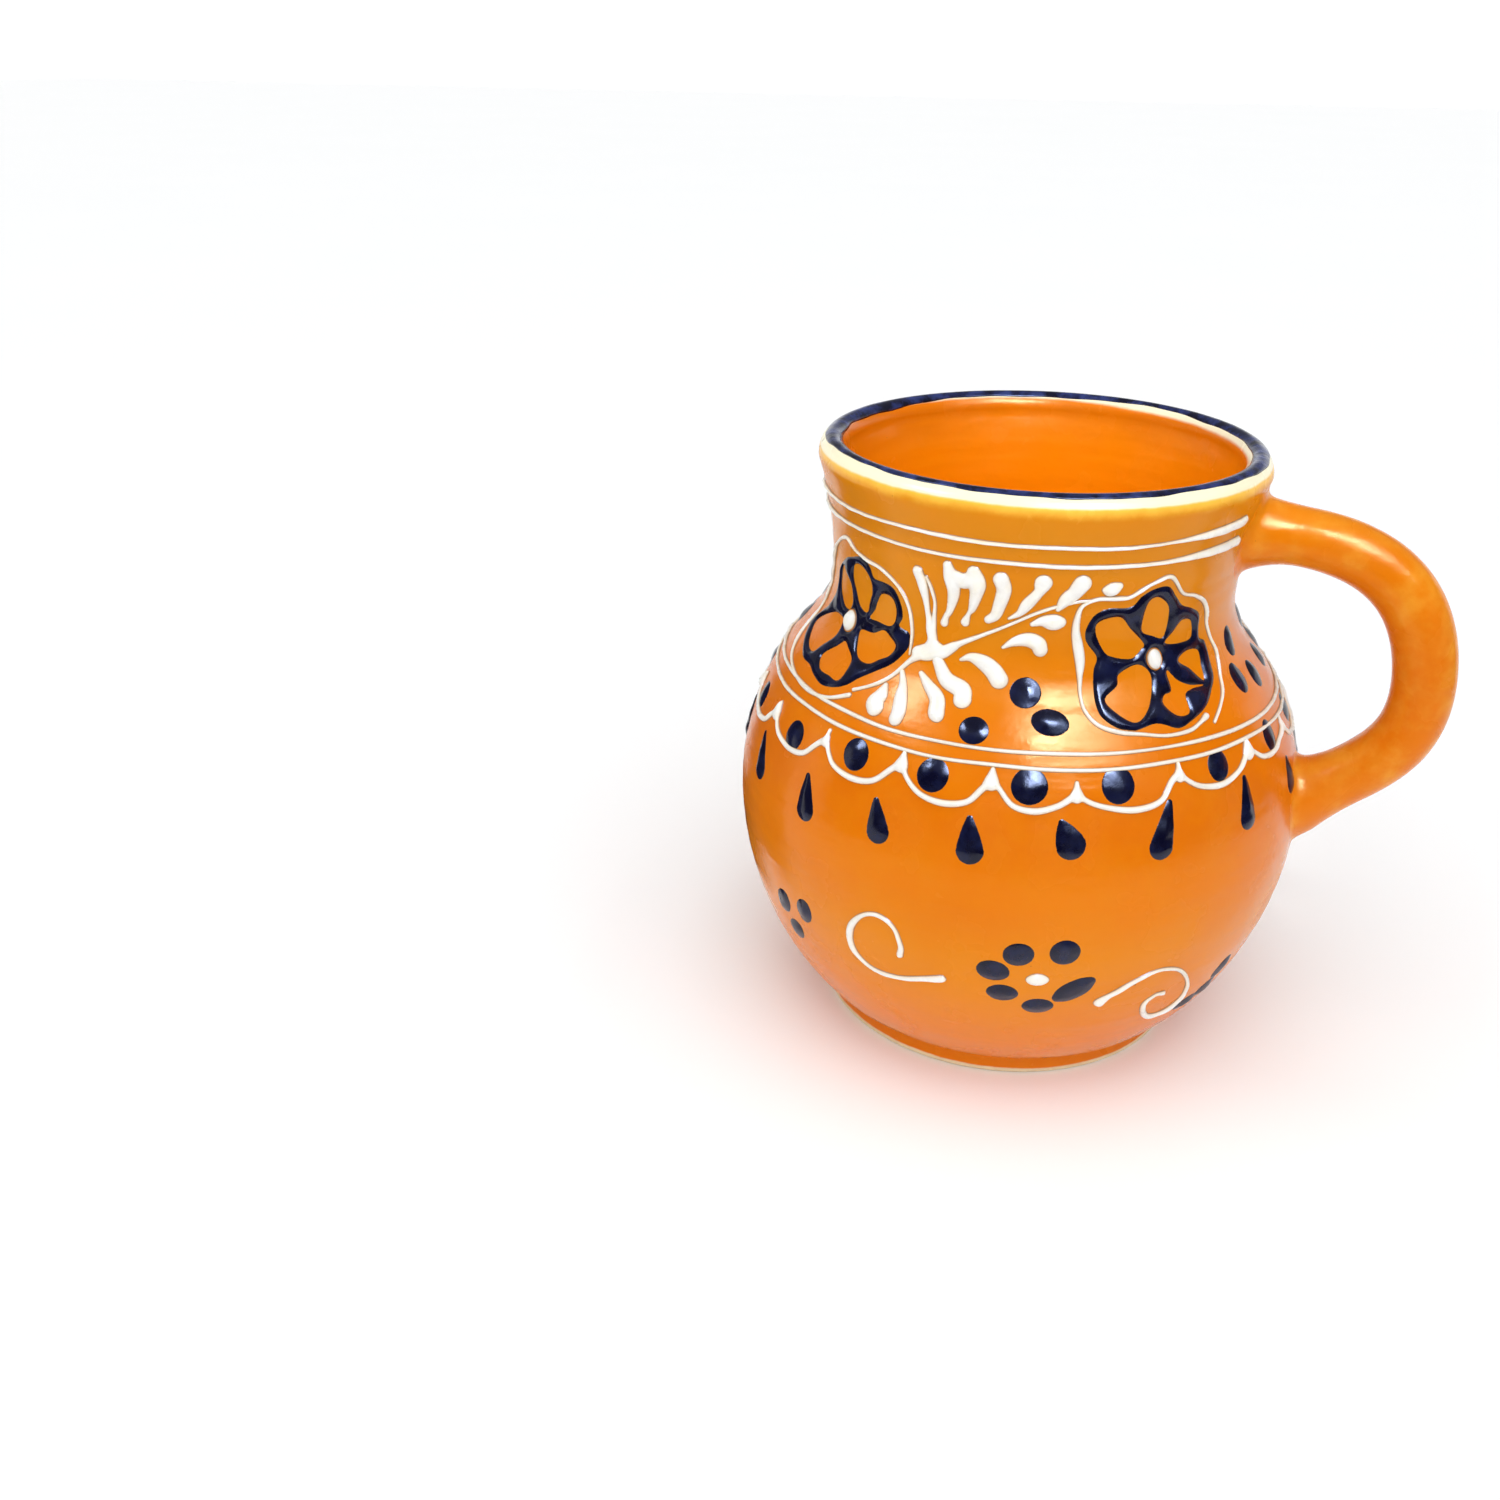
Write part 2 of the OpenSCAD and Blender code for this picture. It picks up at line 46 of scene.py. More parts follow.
# Profile of the pot, drawn by arcs that meet smoothly
POT_H = 100.0
BELLY_R, BELLY_Z = 47.1, 40.0
UNDER_ARC_R = 51.5
NECK_R, NECK_Z = 32.3, 78.0
NECK_ARC_R = 13.5
FLARE_ARC_R = 62.0
WALL = 4.2
LIP_CROWN = 3.0
BAND_T = 0.2
LIP_Z = POT_H - BAND_T - LIP_CROWN
NECK_REACH = NECK_R + NECK_ARC_R - BELLY_R
NECK_RISE = NECK_Z - BELLY_Z
OVER_ARC_R = (NECK_REACH**2 + NECK_RISE**2 - NECK_ARC_R**2) / (2 * (NECK_ARC_R - NECK_REACH))
UNDER_MID = BELLY_R - UNDER_ARC_R
OVER_MID = BELLY_R - OVER_ARC_R
NECK_MID = NECK_R + NECK_ARC_R
FLARE_MID = NECK_R + FLARE_ARC_R
JOIN_Z = BELLY_Z + OVER_ARC_R * math.sin(math.atan2(NECK_RISE, NECK_MID - OVER_MID))

# Foot, and the floor with its corner to the wall
FOOT_R, FOOT_H, FOOT_WAIST = 31.0, 4.6, 0.3
FOOT_COVE = 2.0
RECESS = 1.6
FLOOR_R, FLOOR_Z = 24.0, 7.1
FLOOR_DISH = 1.2
FLOOR_EDGE_Z = 15.0
CORNER_IN, CORNER_Z = 4.6, 9.0
FLOOR_RING_RISE, FLOOR_RING_TURNS = 0.08, 40

# Waves and rings of the hand-thrown wall, each (depth, waves round, start, turn in a millimetre up),
# and the height over the foot in which they grow to their full depth
WALL_WAVES = [(0.09, 2, 0.7, 1 / 60), (0.05, 3, 0, 1 / 19), (0.022, 1, 0, 2.1), (0.015, -1, 0, 0.83)]
WAVES_RUN = 20.0

# Handle: one rolled coil along a curve drawn by five pull points, each (distance from the axis, height)
HANDLE_PULLS = [(30.28, 88.4), (74.18, 92.2), (52.3, 59.0), (75.2, 62.4), (40.14, 42.1)]
HANDLE_TOP_D, HANDLE_LOW_D = 9.2, 9.5
COIL_UNEVEN = 0.012
ROOT_FLARE, ROOT_RUN, ROOT_SINK = 1.5, 8.0, 0.6
FILLET_TOP, FILLET_LOW = 2.2, 2.6
FILLET_SPREAD, FILLET_PULL = 0.9, 0.75

# Raised slip and glaze
SLIP_RISE = 0.55
COBALT_RISE = 0.32
GRID = 0.2
BLEND = 0.35
SINK = 0.12
HAIR = 0.05
LINE_HALF = 0.38
BRUSH_WAVES = [(0.1, 0.9, 1.0), (0.08, 0.31, -1.7)]


def srgb(red, green, blue):
    """Linear colour of a screen colour given from 0 to 255"""
    shares = [value / 255 for value in (red, green, blue)]
    return (*[((s + 0.055) / 1.055) ** 2.4 if s > 10 / 255 else s / 12.92 for s in shares], 1)


# Shape of the pot

def arc_r(z, mid, radius, mid_z, side):
    return mid + side * np.sqrt(np.maximum(radius**2 - (z - mid_z) ** 2, 0))


def pot_r(z, depth=0.0):
    """Radius of the wall at a height, at a depth under its outside"""
    z = np.asarray(z, float)
    join_z = BELLY_Z + (JOIN_Z - BELLY_Z) * (OVER_ARC_R - depth) / OVER_ARC_R
    return np.select([z < BELLY_Z, z < join_z, z < NECK_Z],
                     [arc_r(z, UNDER_MID, UNDER_ARC_R - depth, BELLY_Z, 1),
                      arc_r(z, OVER_MID, OVER_ARC_R - depth, BELLY_Z, 1),
                      arc_r(z, NECK_MID, NECK_ARC_R + depth, NECK_Z, -1)],
                     arc_r(z, FLARE_MID, FLARE_ARC_R + depth, NECK_Z, -1))


def pot_normal(z):
    """Outward direction of the surface at a height, as its parts out and up"""
    step = 0.01
    slope = (pot_r(z + step) - pot_r(z - step)) / (2 * step)
    size = np.sqrt(1 + slope**2)
    return 1 / size, -slope / size


def wobble(angle, z):
    """How far the hand-thrown wall lies inside the true profile"""
    a = np.radians(angle)
    free = np.clip((np.asarray(z, float) - FOOT_H) / WAVES_RUN, 0, 1)
    return free * sum(depth * (1 + np.cos(count * a + start + z * turn))
                      for depth, count, start, turn in WALL_WAVES)


def on_pot(angle, z, lift=0.0):
    """Points on the pot's outside, lifted off it"""
    out, up = pot_normal(z)
    r = pot_r(z) - wobble(angle, z) + lift * out
    a = np.radians(angle)
    return np.stack(np.broadcast_arrays(r * np.cos(a), r * np.sin(a), z + lift * up), axis=-1)


# Heights up the wall, and how far along the wall each one lies
HEIGHTS = np.linspace(FOOT_H, LIP_Z, 1200)
RUNS = np.concatenate([[0], np.cumsum(np.hypot(np.diff(HEIGHTS), np.diff(pot_r(HEIGHTS))))])

# Section of the lip: a half round on the wall
LIP_HALF = (float(pot_r(LIP_Z)) - float(pot_r(LIP_Z, WALL))) / 2
LIP_MID = float(pot_r(LIP_Z, WALL)) + LIP_HALF


def beside(middle, x, y, *width):
    """Place, or brush point, at x along the girth and y up from a middle"""
    return middle[0] + math.degrees(x / float(pot_r(middle[1]))), middle[1] + y, *width


def turned(place, turn):
    return place[0] + turn, place[1]


# Meshes

def add_object(name, data):
    thing = bpy.data.objects.new(name, data)
    bpy.context.scene.collection.objects.link(thing)
    return thing


def add_mesh(name, points, faces, material):
    """An object from points in metres"""
    mesh = bpy.data.meshes.new(name)
    mesh.from_pydata(points, [], faces)
    mesh.materials.append(material)
    return add_object(name, mesh)


def add_piece(name, points, faces, material, node):
    """A piece of the mug, in the place of one node of the solids"""
    piece = add_mesh(name, (np.asarray(points, float) * MM).tolist(), faces, material)
    piece.data.validate()
    piece.data.update()
    piece.data.shade_smooth()
    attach(piece, "root")
    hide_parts(node)
    return piece


def set_attribute(piece, name, values):
    layer = piece.data.attributes.new(name, "FLOAT", "POINT")
    layer.data.foreach_set("value", np.asarray(values, np.float32))


def strips(rows, columns, closed_rows=False):
    """Faces of a sheet of rows of points, each row closed on itself"""
    last = rows if closed_rows else rows - 1
    faces = []
    for i in range(last):
        k = (i + 1) % rows
        for j in range(columns):
            n = (j + 1) % columns
            faces.append((i * columns + j, i * columns + n, k * columns + n, k * columns + j))
    return faces


def smooth_run(points, closed=False, steps=6):
    """Points along a smooth line through given points"""
    p = np.array(points, float)
    if closed:
        ends = np.vstack([p[-1:], p, p[:2]])
    else:
        ends = np.vstack([2 * p[:1] - p[1:2], p, 2 * p[-1:] - p[-2:-1]])
    t = np.linspace(0, 1, steps, endpoint=False)[:, None]
    parts = []
    for i in range(1, len(ends) - 2):
        a, b, c, d = ends[i - 1:i + 3]
        parts.append(0.5 * (2 * b + (c - a) * t + (2 * a - 5 * b + 4 * c - d) * t**2
                            + (3 * b - a - 3 * c + d) * t**3))
    parts.append(parts[0][:1] if closed else p[-1:])
    return np.vstack(parts)


def bezier(points, t):
    """Point of a curve drawn by pull points"""
    rows = [np.array(p, float) for p in points]
    while len(rows) > 1:
        rows = [a * (1 - t) + b * t for a, b in zip(rows, rows[1:])]
    return rows[0]


# Raised marks: each is a depth field on a grid over the pot, cut off where the depth is zero

def stroke_depth(points, line):
    """How deep points lie inside a stroke: its half width less the distance from its middle line"""
    middle = on_pot(line[:, 0], line[:, 1])
    half = np.maximum(line[:, 2], HAIR)
    best = np.full(len(points), -np.inf)
    for a, b, wa, wb in zip(middle, middle[1:], half, half[1:]):
        ab = b - a
        t = np.clip((points - a) @ ab / max(ab @ ab, 1e-9), 0, 1)
        gap = np.linalg.norm(points - a - t[:, None] * ab, axis=1)
        np.maximum(best, wa + (wb - wa) * t - gap, out=best)
    return best


def inside_outline(angles, heights, ring):
    """Whether places lie inside a closed outline"""
    inside = np.zeros(angles.shape, bool)
    for (a0, z0), (a1, z1) in zip(ring, np.roll(ring, -1, axis=0)):
        if z0 == z1:
            continue
        crosses = (heights < z0) != (heights < z1)
        inside ^= crosses & (angles < a0 + (heights - z0) * (a1 - a0) / (z1 - z0))
    return inside


def soft_max(a, b):
    """The larger of two depths, rounded where they meet"""
    h = np.clip(0.5 + 0.5 * (a - b) / BLEND, 0, 1)
    return b + (a - b) * h + BLEND * h * (1 - h)


def numbered(mask, first):
    """Numbers that count up over the true places of a mask, and -1 in the others"""
    ids = np.full(mask.shape, -1)
    ids[mask] = first + np.arange(int(mask.sum()))
    return ids


class Sheet:
    """Grid over a patch of the pot that marks are laid on"""

    BARE = -9.0
    REACH = 0.6
    EDGE_SHARES = (0.05, 0.95)

    def __init__(self, angles, heights):
        self.ring = angles[1] - angles[0] >= 360
        runs = np.interp(heights, HEIGHTS, RUNS)
        self.runs = np.arange(runs[0], runs[1] + GRID, GRID)
        self.heights = np.interp(self.runs, RUNS, HEIGHTS)
        girth = math.radians(angles[1] - angles[0]) * float(pot_r(np.mean(heights)))
        self.angles = np.linspace(angles[0], angles[1], int(girth / GRID) + 2, endpoint=not self.ring)
        self.step = self.angles[1] - self.angles[0]
        self.points = on_pot(self.angles[:, None], self.heights[None, :])
        self.depth = np.full(self.points.shape[:2], self.BARE)

    def window(self, line, reach):
        """The columns and rows of the grid that lie within reach of a line"""
        turn = math.degrees(reach / float(pot_r(line[:, 1]).min()))
        first = math.floor((line[:, 0].min() - turn - self.angles[0]) / self.step)
        last = math.ceil((line[:, 0].max() + turn - self.angles[0]) / self.step)
        columns = np.arange(first, last + 1)
        if self.ring:
            columns = np.unique(columns % len(self.angles))
        else:
            columns = columns[(columns >= 0) & (columns < len(self.angles))]
        low, high = line[:, 1].min() - reach, line[:, 1].max() + reach
        rows = np.nonzero((self.heights > low) & (self.heights < high))[0]
        return columns[:, None], rows[None, :]

    def stroke(self, points):
        """Lays a stroke through brush points"""
        line = smooth_run(points)
        window = self.window(line, line[:, 2].max() + self.REACH)
        old = self.depth[window]
        new = stroke_depth(self.points[window].reshape(-1, 3), line).reshape(old.shape)
        self.depth[window] = soft_max(old, new)

    def area(self, places, cut=False):
        """Lays the inside of an outline, or cuts it out"""
        ring = smooth_run(places, closed=True)
        line = np.column_stack([ring, np.full(len(ring), HAIR)])
        window = self.window(line, 2 * self.REACH)
        old = self.depth[window]
        off = HAIR - stroke_depth(self.points[window].reshape(-1, 3), line).reshape(old.shape)
        angles = np.broadcast_to(self.angles[window[0]], old.shape)
        heights = np.broadcast_to(self.heights[window[1]], old.shape)
        new = np.where(inside_outline(angles, heights, ring), off, -off)
        self.depth[window] = -soft_max(-old, new) if cut else soft_max(old, new)

    def cut_free(self, other):
        """Keeps a hair clear of the marks on a like sheet"""
        self.depth = np.minimum(self.depth, -other.depth - HAIR)

    def solid(self, rise, edge, crown):
        """Points, depths and faces of the marks as a closed skin, domed on top and sunk underneath"""
        d = self.depth
        after = np.roll(d, -1, axis=0)
        inside = d > 0
        count = int(inside.sum())
        along = inside != np.roll(inside, -1, axis=0)
        if not self.ring:
            along[-1] = False
        up = np.zeros_like(inside)
        up[:, :-1] = inside[:, :-1] != inside[:, 1:]
        ids = numbered(inside, 0)
        along_ids = numbered(along, count)
        up_ids = numbered(up, count + int(along.sum()))

        i, j = np.nonzero(inside)
        ai, aj = np.nonzero(along)
        ui, uj = np.nonzero(up)
        t = np.clip(d[ai, aj] / (d[ai, aj] - after[ai, aj]), *self.EDGE_SHARES)
        s = np.clip(d[ui, uj] / (d[ui, uj] - d[ui, uj + 1]), *self.EDGE_SHARES)
        angle = np.concatenate([self.angles[i], self.angles[ai] + t * self.step, self.angles[ui]])
        run = np.concatenate([self.runs[j], self.runs[aj], self.runs[uj] + s * GRID])
        z = np.interp(run, RUNS, HEIGHTS)
        depth = np.concatenate([d[inside], np.zeros(len(ai) + len(ui))])
        uneven = 1 + sum(size * np.sin(angle * a + z * b) for size, a, b in BRUSH_WAVES)
        dome = np.sin(math.pi / 2 * np.clip(depth / edge, 0, 1))
        lift = (rise * dome + crown * np.clip(depth - edge / 2, 0, 2)) * uneven
        rim = np.arange(len(depth)) >= count
        lift[rim] = -0.02
        top = on_pot(angle, z, lift)
        under = on_pot(angle[:count], z[:count], -SINK * np.clip(depth[:count] / 0.4, 0.3, 1))
        faces = self.cells(inside, ids, along_ids, up_ids)
        shift = len(top)
        below = [tuple(k + shift if k < count else k for k in reversed(f)) for f in faces]
        depth = np.concatenate([depth, depth[:count]])
        return np.vstack([top, under]), depth, faces + below, (count, shift)

    def cells(self, inside, ids, along_ids, up_ids):
        """Faces of the grid's cells, each cut along the marks' edge"""
        n = inside.shape[0]
        rows = n if self.ring else n - 1
        after = np.roll(inside, -1, axis=0)
        touched = (inside[:, :-1].astype(int) + inside[:, 1:] + after[:, :-1] + after[:, 1:]) > 0
        faces = []
        for i, j in zip(*np.nonzero(touched[:rows])):
            k = (i + 1) % n
            corners = ((i, j), (k, j), (k, j + 1), (i, j + 1))
            sides = (along_ids[i, j], up_ids[k, j], along_ids[i, j + 1], up_ids[i, j])
            face = []
            for corner, side in zip(corners, sides):
                if inside[corner]:
                    face.append(int(ids[corner]))
                if side >= 0:
                    face.append(int(side))
            faces.append(tuple(face))
        return faces


def raised(name, sheets, rise, edge, crown, material, node):
    """One piece from the marks on some sheets, in the place of one node of the solids"""
    points, depths, faces, rims = [], [], [], []
    for sheet in sheets:
        base = sum(len(p) for p in points)
        p, d, f, (first, last) = sheet.solid(rise, edge, crown)
        points.append(p)
        depths.append(d)
        faces += [tuple(k + base for k in face) for face in f]
        rims.append((base + first, base + last))
    piece = add_piece(name, np.vstack(points), faces, material, node)
    set_attribute(piece, "inset", np.concatenate(depths))
    is_rim = np.zeros(len(piece.data.vertices), bool)
    for first, last in rims:
        is_rim[first:last] = True
    ends = np.empty(len(piece.data.edges) * 2, np.int32)
    piece.data.edges.foreach_get("vertices", ends)
    ends = ends.reshape(-1, 2)
    sharp = piece.data.attributes.new("sharp_edge", "BOOLEAN", "EDGE")
    sharp.data.foreach_set("value", is_rim[ends[:, 0]] & is_rim[ends[:, 1]])


# Materials

class Nodes:
    """Short names for building one node material"""

    def __init__(self, name):
        self.material = bpy.data.materials.new(name)
        self.material.use_nodes = True
        self.tree = self.material.node_tree
        self.tree.nodes.clear()
        place = self.add("ShaderNodeTexCoord").outputs["Object"]
        scale = self.add("ShaderNodeVectorMath", operation="SCALE")
        scale.inputs["Scale"].default_value = 1 / MM
        self.tree.links.new(place, scale.inputs[0])
        self.place = scale.outputs[0]

    def add(self, kind, **settings):
        node = self.tree.nodes.new(kind)
        for key, value in settings.items():
            setattr(node, key, value)
        return node

    def put(self, socket, value):
        if isinstance(value, bpy.types.NodeSocket):
            self.tree.links.new(value, socket)
        else:
            socket.default_value = value

    def calc(self, operation, a, b):
        node = self.add("ShaderNodeMath", operation=operation)
        self.put(node.inputs[0], a)
        self.put(node.inputs[1], b)
        return node.outputs[0]

    def noise(self, size, detail=2.0, roughness=0.5, stretch=None):
        """Soft noise from 0 to 1 whose blobs are about a size across"""
        node = self.add("ShaderNodeTexNoise")
        place = self.place
        if stretch:
            mapping = self.add("ShaderNodeMapping")
            self.put(mapping.inputs["Vector"], self.place)
            mapping.inputs["Scale"].default_value = stretch
            place = mapping.outputs[0]
        self.put(node.inputs["Vector"], place)
        node.inputs["Scale"].default_value = 1 / size
        node.inputs["Detail"].default_value = detail
        node.inputs["Roughness"].default_value = roughness
        return node.outputs[0]

    def drift(self, reach, size, detail, roughness=0.5):
        """Soft noise to both sides of zero"""
        return self.calc("MULTIPLY", self.calc("SUBTRACT", self.noise(size, detail, roughness), 0.5), reach)

    def along(self, axis):
        """Distance along the mug's X, towards the handle, or up its Z"""
        node = self.add("ShaderNodeSeparateXYZ")
        self.put(node.inputs[0], self.place)
        return node.outputs[axis]

    def attribute(self, name):
        return self.add("ShaderNodeAttribute", attribute_name=name).outputs["Fac"]

    def between(self, value, low, high, to_low=0.0, to_high=1.0):
        """Smooth step of a value from one range to another"""
        node = self.add("ShaderNodeMapRange", interpolation_type="SMOOTHSTEP")
        for socket, v in zip(node.inputs, (value, low, high, to_low, to_high)):
            self.put(socket, v)
        return node.outputs[0]

    def blend(self, share, a, b):
        node = self.add("ShaderNodeMix", data_type="RGBA")
        self.put(node.inputs["Factor"], share)
        self.put(node.inputs[6], a)
        self.put(node.inputs[7], b)
        return node.outputs[2]

    def mottle(self, colour, other, most, low, high, *noise):
        """Patches of another colour, which grow as a noise passes from low to high"""
        return self.blend(self.between(self.noise(*noise), low, high, 0.0, most), colour, other)

    def ramp(self, value, stops):
        node = self.add("ShaderNodeValToRGB")
        node.color_ramp.interpolation = "EASE"
        band = node.color_ramp.elements
        while len(band) < len(stops):
            band.new(1)
        for element, (place, colour) in zip(band, stops):
            element.position = place
            element.color = colour
        self.put(node.inputs[0], value)
        return node.outputs[0]

    def specks(self, spacing, size, share):
        """Small round spots on a share of the cells of a loose lattice, 1 on a spot"""
        node = self.add("ShaderNodeTexVoronoi")
        self.put(node.inputs["Vector"], self.place)
        node.inputs["Scale"].default_value = 1 / spacing
        pick = self.add("ShaderNodeSeparateColor")
        self.put(pick.inputs[0], node.outputs["Color"])
        chosen = self.calc("LESS_THAN", pick.outputs[0], share)
        radius = self.calc("MULTIPLY", pick.outputs[1], size / spacing)
        spot = self.calc("LESS_THAN", node.outputs["Distance"], radius)
        return self.calc("MULTIPLY", chosen, spot)

    def bump(self, parts):
        """Normal of a stack of bumps, each (height 0 to 1, depth in millimetres)"""
        normal = None
        for value, depth in parts:
            node = self.add("ShaderNodeBump")
            node.inputs["Strength"].default_value = 1.0
            node.inputs["Distance"].default_value = depth * MM
            self.put(node.inputs["Height"], value)
            if normal is not None:
                self.put(node.inputs["Normal"], normal)
            normal = node.outputs[0]
        return normal

    def finish(self, colour, roughness, normal, specular=0.5, tint=(1, 1, 1, 1)):
        shader = self.add("ShaderNodeBsdfPrincipled")
        self.put(shader.inputs["Base Color"], colour)
        self.put(shader.inputs["Roughness"], roughness)
        self.put(shader.inputs["Normal"], normal)
        shader.inputs["Specular IOR Level"].default_value = specular
        shader.inputs["Specular Tint"].default_value = tint
        output = self.add("ShaderNodeOutputMaterial")
        self.put(output.inputs["Surface"], shader.outputs[0])
        return self.material


GLOSS = 0.32
GLOSS_TINT = (1.0, 0.86, 0.34, 1.0)
ORANGE = srgb(222, 117, 2)
DEEP_ORANGE = srgb(216, 108, 2)
# Orange of the inside, painted brighter than the outside: painted light bounced between the inside walls
LIT_INNER_ORANGE = srgb(248, 138, 2)
PALE_ORANGE = srgb(222, 127, 6)
OCHRE = srgb(212, 128, 8)
YELLOW = srgb(246, 190, 70)
CREAM = srgb(240, 232, 200)
CLAY = srgb(236, 216, 176)
SPECK = srgb(110, 50, 12)
COBALT = srgb(8, 8, 32)
PALE_COBALT = srgb(52, 66, 128)
SLIP = srgb(236, 234, 228)
SLIP_EDGE = srgb(240, 206, 150)
SLIP_OUTLINE = srgb(120, 70, 20)
COBALT_EDGE = srgb(70, 62, 20)


def glaze_skin(n, colour):
    """Specks, pits and waves that the glaze has all over"""
    specks = n.specks(5.5, 0.28, 0.16)
    fine = n.specks(2.6, 0.13, 0.22)
    colour = n.blend(n.calc("MULTIPLY", specks, 0.75), colour, SPECK)
    colour = n.blend(n.calc("MULTIPLY", fine, 0.35), colour, SPECK)
    waves = n.noise(13, 1.5)
    peel = n.noise(1.3, 2.0)
    rings = n.noise(7, 2.0, stretch=(0.25, 0.25, 2.2))
    streaks = n.noise(3.2, 2.0, stretch=(0.35, 0.35, 1.6))
    unpitted = n.calc("SUBTRACT", 1.0, specks)
    normal = n.bump([(waves, 0.35), (rings, 0.11), (streaks, 0.07), (peel, 0.034), (unpitted, 0.02)])
    roughness = n.between(n.noise(9, 3.0), 0.3, 0.7, 0.16, 0.30)
    return colour, roughness, normal


def pot_glaze():
    """Orange glaze, ochre at the neck, cream where it runs thin at the lip, with bare clay under the foot,
    and the inside painted brighter as painted light bounced between its walls
    """
    n = Nodes("orange_glaze_pot")
    z = n.along("Z")
    level = n.calc("DIVIDE", n.calc("ADD", z, n.drift(9.0, 16, 3.0)), POT_H)
    body = n.ramp(level, [(0.0, DEEP_ORANGE), (0.10, ORANGE), (0.30, PALE_ORANGE), (0.42, ORANGE),
                          (0.54, DEEP_ORANGE), (0.66, ORANGE), (0.80, OCHRE), (1.0, OCHRE)])
    body = n.mottle(body, PALE_ORANGE, 0.30, 0.35, 0.75, 5, 4.0, 0.6)
    body = n.mottle(body, DEEP_ORANGE, 0.35, 0.45, 0.75, 24, 2.0)
    ragged = n.drift(1.6, 4.5, 4.0, 0.6)
    edge = n.calc("ADD", z, ragged)
    turn = n.calc("ADD", n.attribute("inside"), n.calc("MULTIPLY", ragged, 0.03))
    body = n.blend(n.between(edge, 96.4, 98.4), body, YELLOW)
    body = n.blend(n.between(turn, 0.14, 0.19), body, CREAM)
    # Painted light: below the rim the inside is painted brighter, for light bounced between its walls
    inner = n.ramp(level, [(0.9, LIT_INNER_ORANGE), (1.0, ORANGE)])
    cream_end = n.between(n.along("X"), -10, 30, 0.72, 0.81)
    past = n.calc("SUBTRACT", turn, cream_end)
    inner = n.blend(n.between(past, -0.03, 0.05, 1.0, 0.0), inner, CREAM)
    body = n.blend(n.between(n.attribute("inside"), 0.45, 0.55), body, inner)
    foot = n.between(n.calc("ADD", z, n.calc("MULTIPLY", ragged, 0.25)), 0.9, 1.25, 1.0, 0.0)
    colour, roughness, normal = glaze_skin(n, body)
    clay = n.blend(n.noise(2.2, 5.0, 0.7), CLAY, srgb(214, 188, 146))
    colour = n.blend(foot, colour, clay)
    roughness = n.calc("ADD", roughness, n.calc("MULTIPLY", foot, 0.5))
    return n.finish(colour, roughness, normal, GLOSS, GLOSS_TINT)


def handle_glaze():
    """The same orange glaze, which runs thin and yellow along the top of the coil"""
    n = Nodes("orange_glaze_handle")
    level = n.calc("DIVIDE", n.calc("ADD", n.along("Z"), n.calc("MULTIPLY", n.noise(14, 3.0), 10.0)), POT_H)
    body = n.ramp(level, [(0.5, ORANGE), (0.74, DEEP_ORANGE), (0.92, ORANGE), (1.0, PALE_ORANGE)])
    body = n.blend(n.between(n.attribute("outer"), 0.55, 1.0, 0.0, 0.55), body, PALE_ORANGE)
    body = n.mottle(body, YELLOW, 0.35, 0.4, 0.8, 6, 4.0, 0.6)
    colour, roughness, normal = glaze_skin(n, body)
    return n.finish(colour, roughness, normal, GLOSS, GLOSS_TINT)


def cobalt_glaze(name, pale):
    """Cobalt under clear glaze, paler and browner where it thins out to its edge"""
    n = Nodes(name)
    colour = n.mottle(COBALT, PALE_COBALT, pale, 0.35, 0.75, 2.4, 3.0)
    colour = n.blend(n.between(n.attribute("inset"), 0.0, 0.15, 0.85, 0.0), colour, COBALT_EDGE)
    normal = n.bump([(n.noise(5, 2.0), 0.12), (n.noise(0.7, 3.0), 0.022)])
    roughness = n.between(n.noise(3, 2.0), 0.3, 0.7, 0.12, 0.26)
    return n.finish(colour, roughness, normal, GLOSS)


def white_slip():
    """White slip under clear glaze, tinted by the orange where it thins out to its edge"""
    n = Nodes("white_slip")
    colour = n.mottle(SLIP, CREAM, 0.5, 0.4, 0.8, 3.0, 4.0, 0.6)
    inset = n.attribute("inset")
    colour = n.blend(n.between(inset, 0.1, 0.28, 0.6, 0.0), colour, SLIP_EDGE)
    colour = n.blend(n.between(inset, 0.04, 0.15, 0.8, 0.0), colour, SLIP_OUTLINE)
    normal = n.bump([(n.noise(1.6, 2.0), 0.06), (n.noise(0.5, 2.0), 0.012)])
    roughness = n.between(n.noise(2, 2.0), 0.3, 0.7, 0.2, 0.38)
    return n.finish(colour, roughness, normal, GLOSS)


# Pot and handle

def foot_profile():
    """Points from the middle of the underside to the top of the foot"""
    under = [(0, RECESS), (8, RECESS), (16, RECESS), (22, RECESS - 0.02), (24.2, RECESS - 0.15)]
    ring = [(25.1, 0.85), (25.7, 0.2), (26.3, 0), (28.2, 0), (30.1, 0), (30.6, 0.12), (30.9, 0.36)]
    waist = [(31, 0.7), (30.92, 1.4), (30.82, 2.0)]
    cove = [(FOOT_R - FOOT_WAIST + FOOT_COVE * (1 - math.cos(math.radians(a))),
             FOOT_H - FOOT_COVE * (1 - math.sin(math.radians(a)))) for a in range(0, 85, 14)]
    return under + ring + waist + cove


def wall_heights(low, high, spacing):
    runs = np.interp([low, high], HEIGHTS, RUNS)
    steps = int((runs[1] - runs[0]) / spacing)
    return np.interp(np.linspace(runs[0], runs[1], steps + 1), RUNS, HEIGHTS)


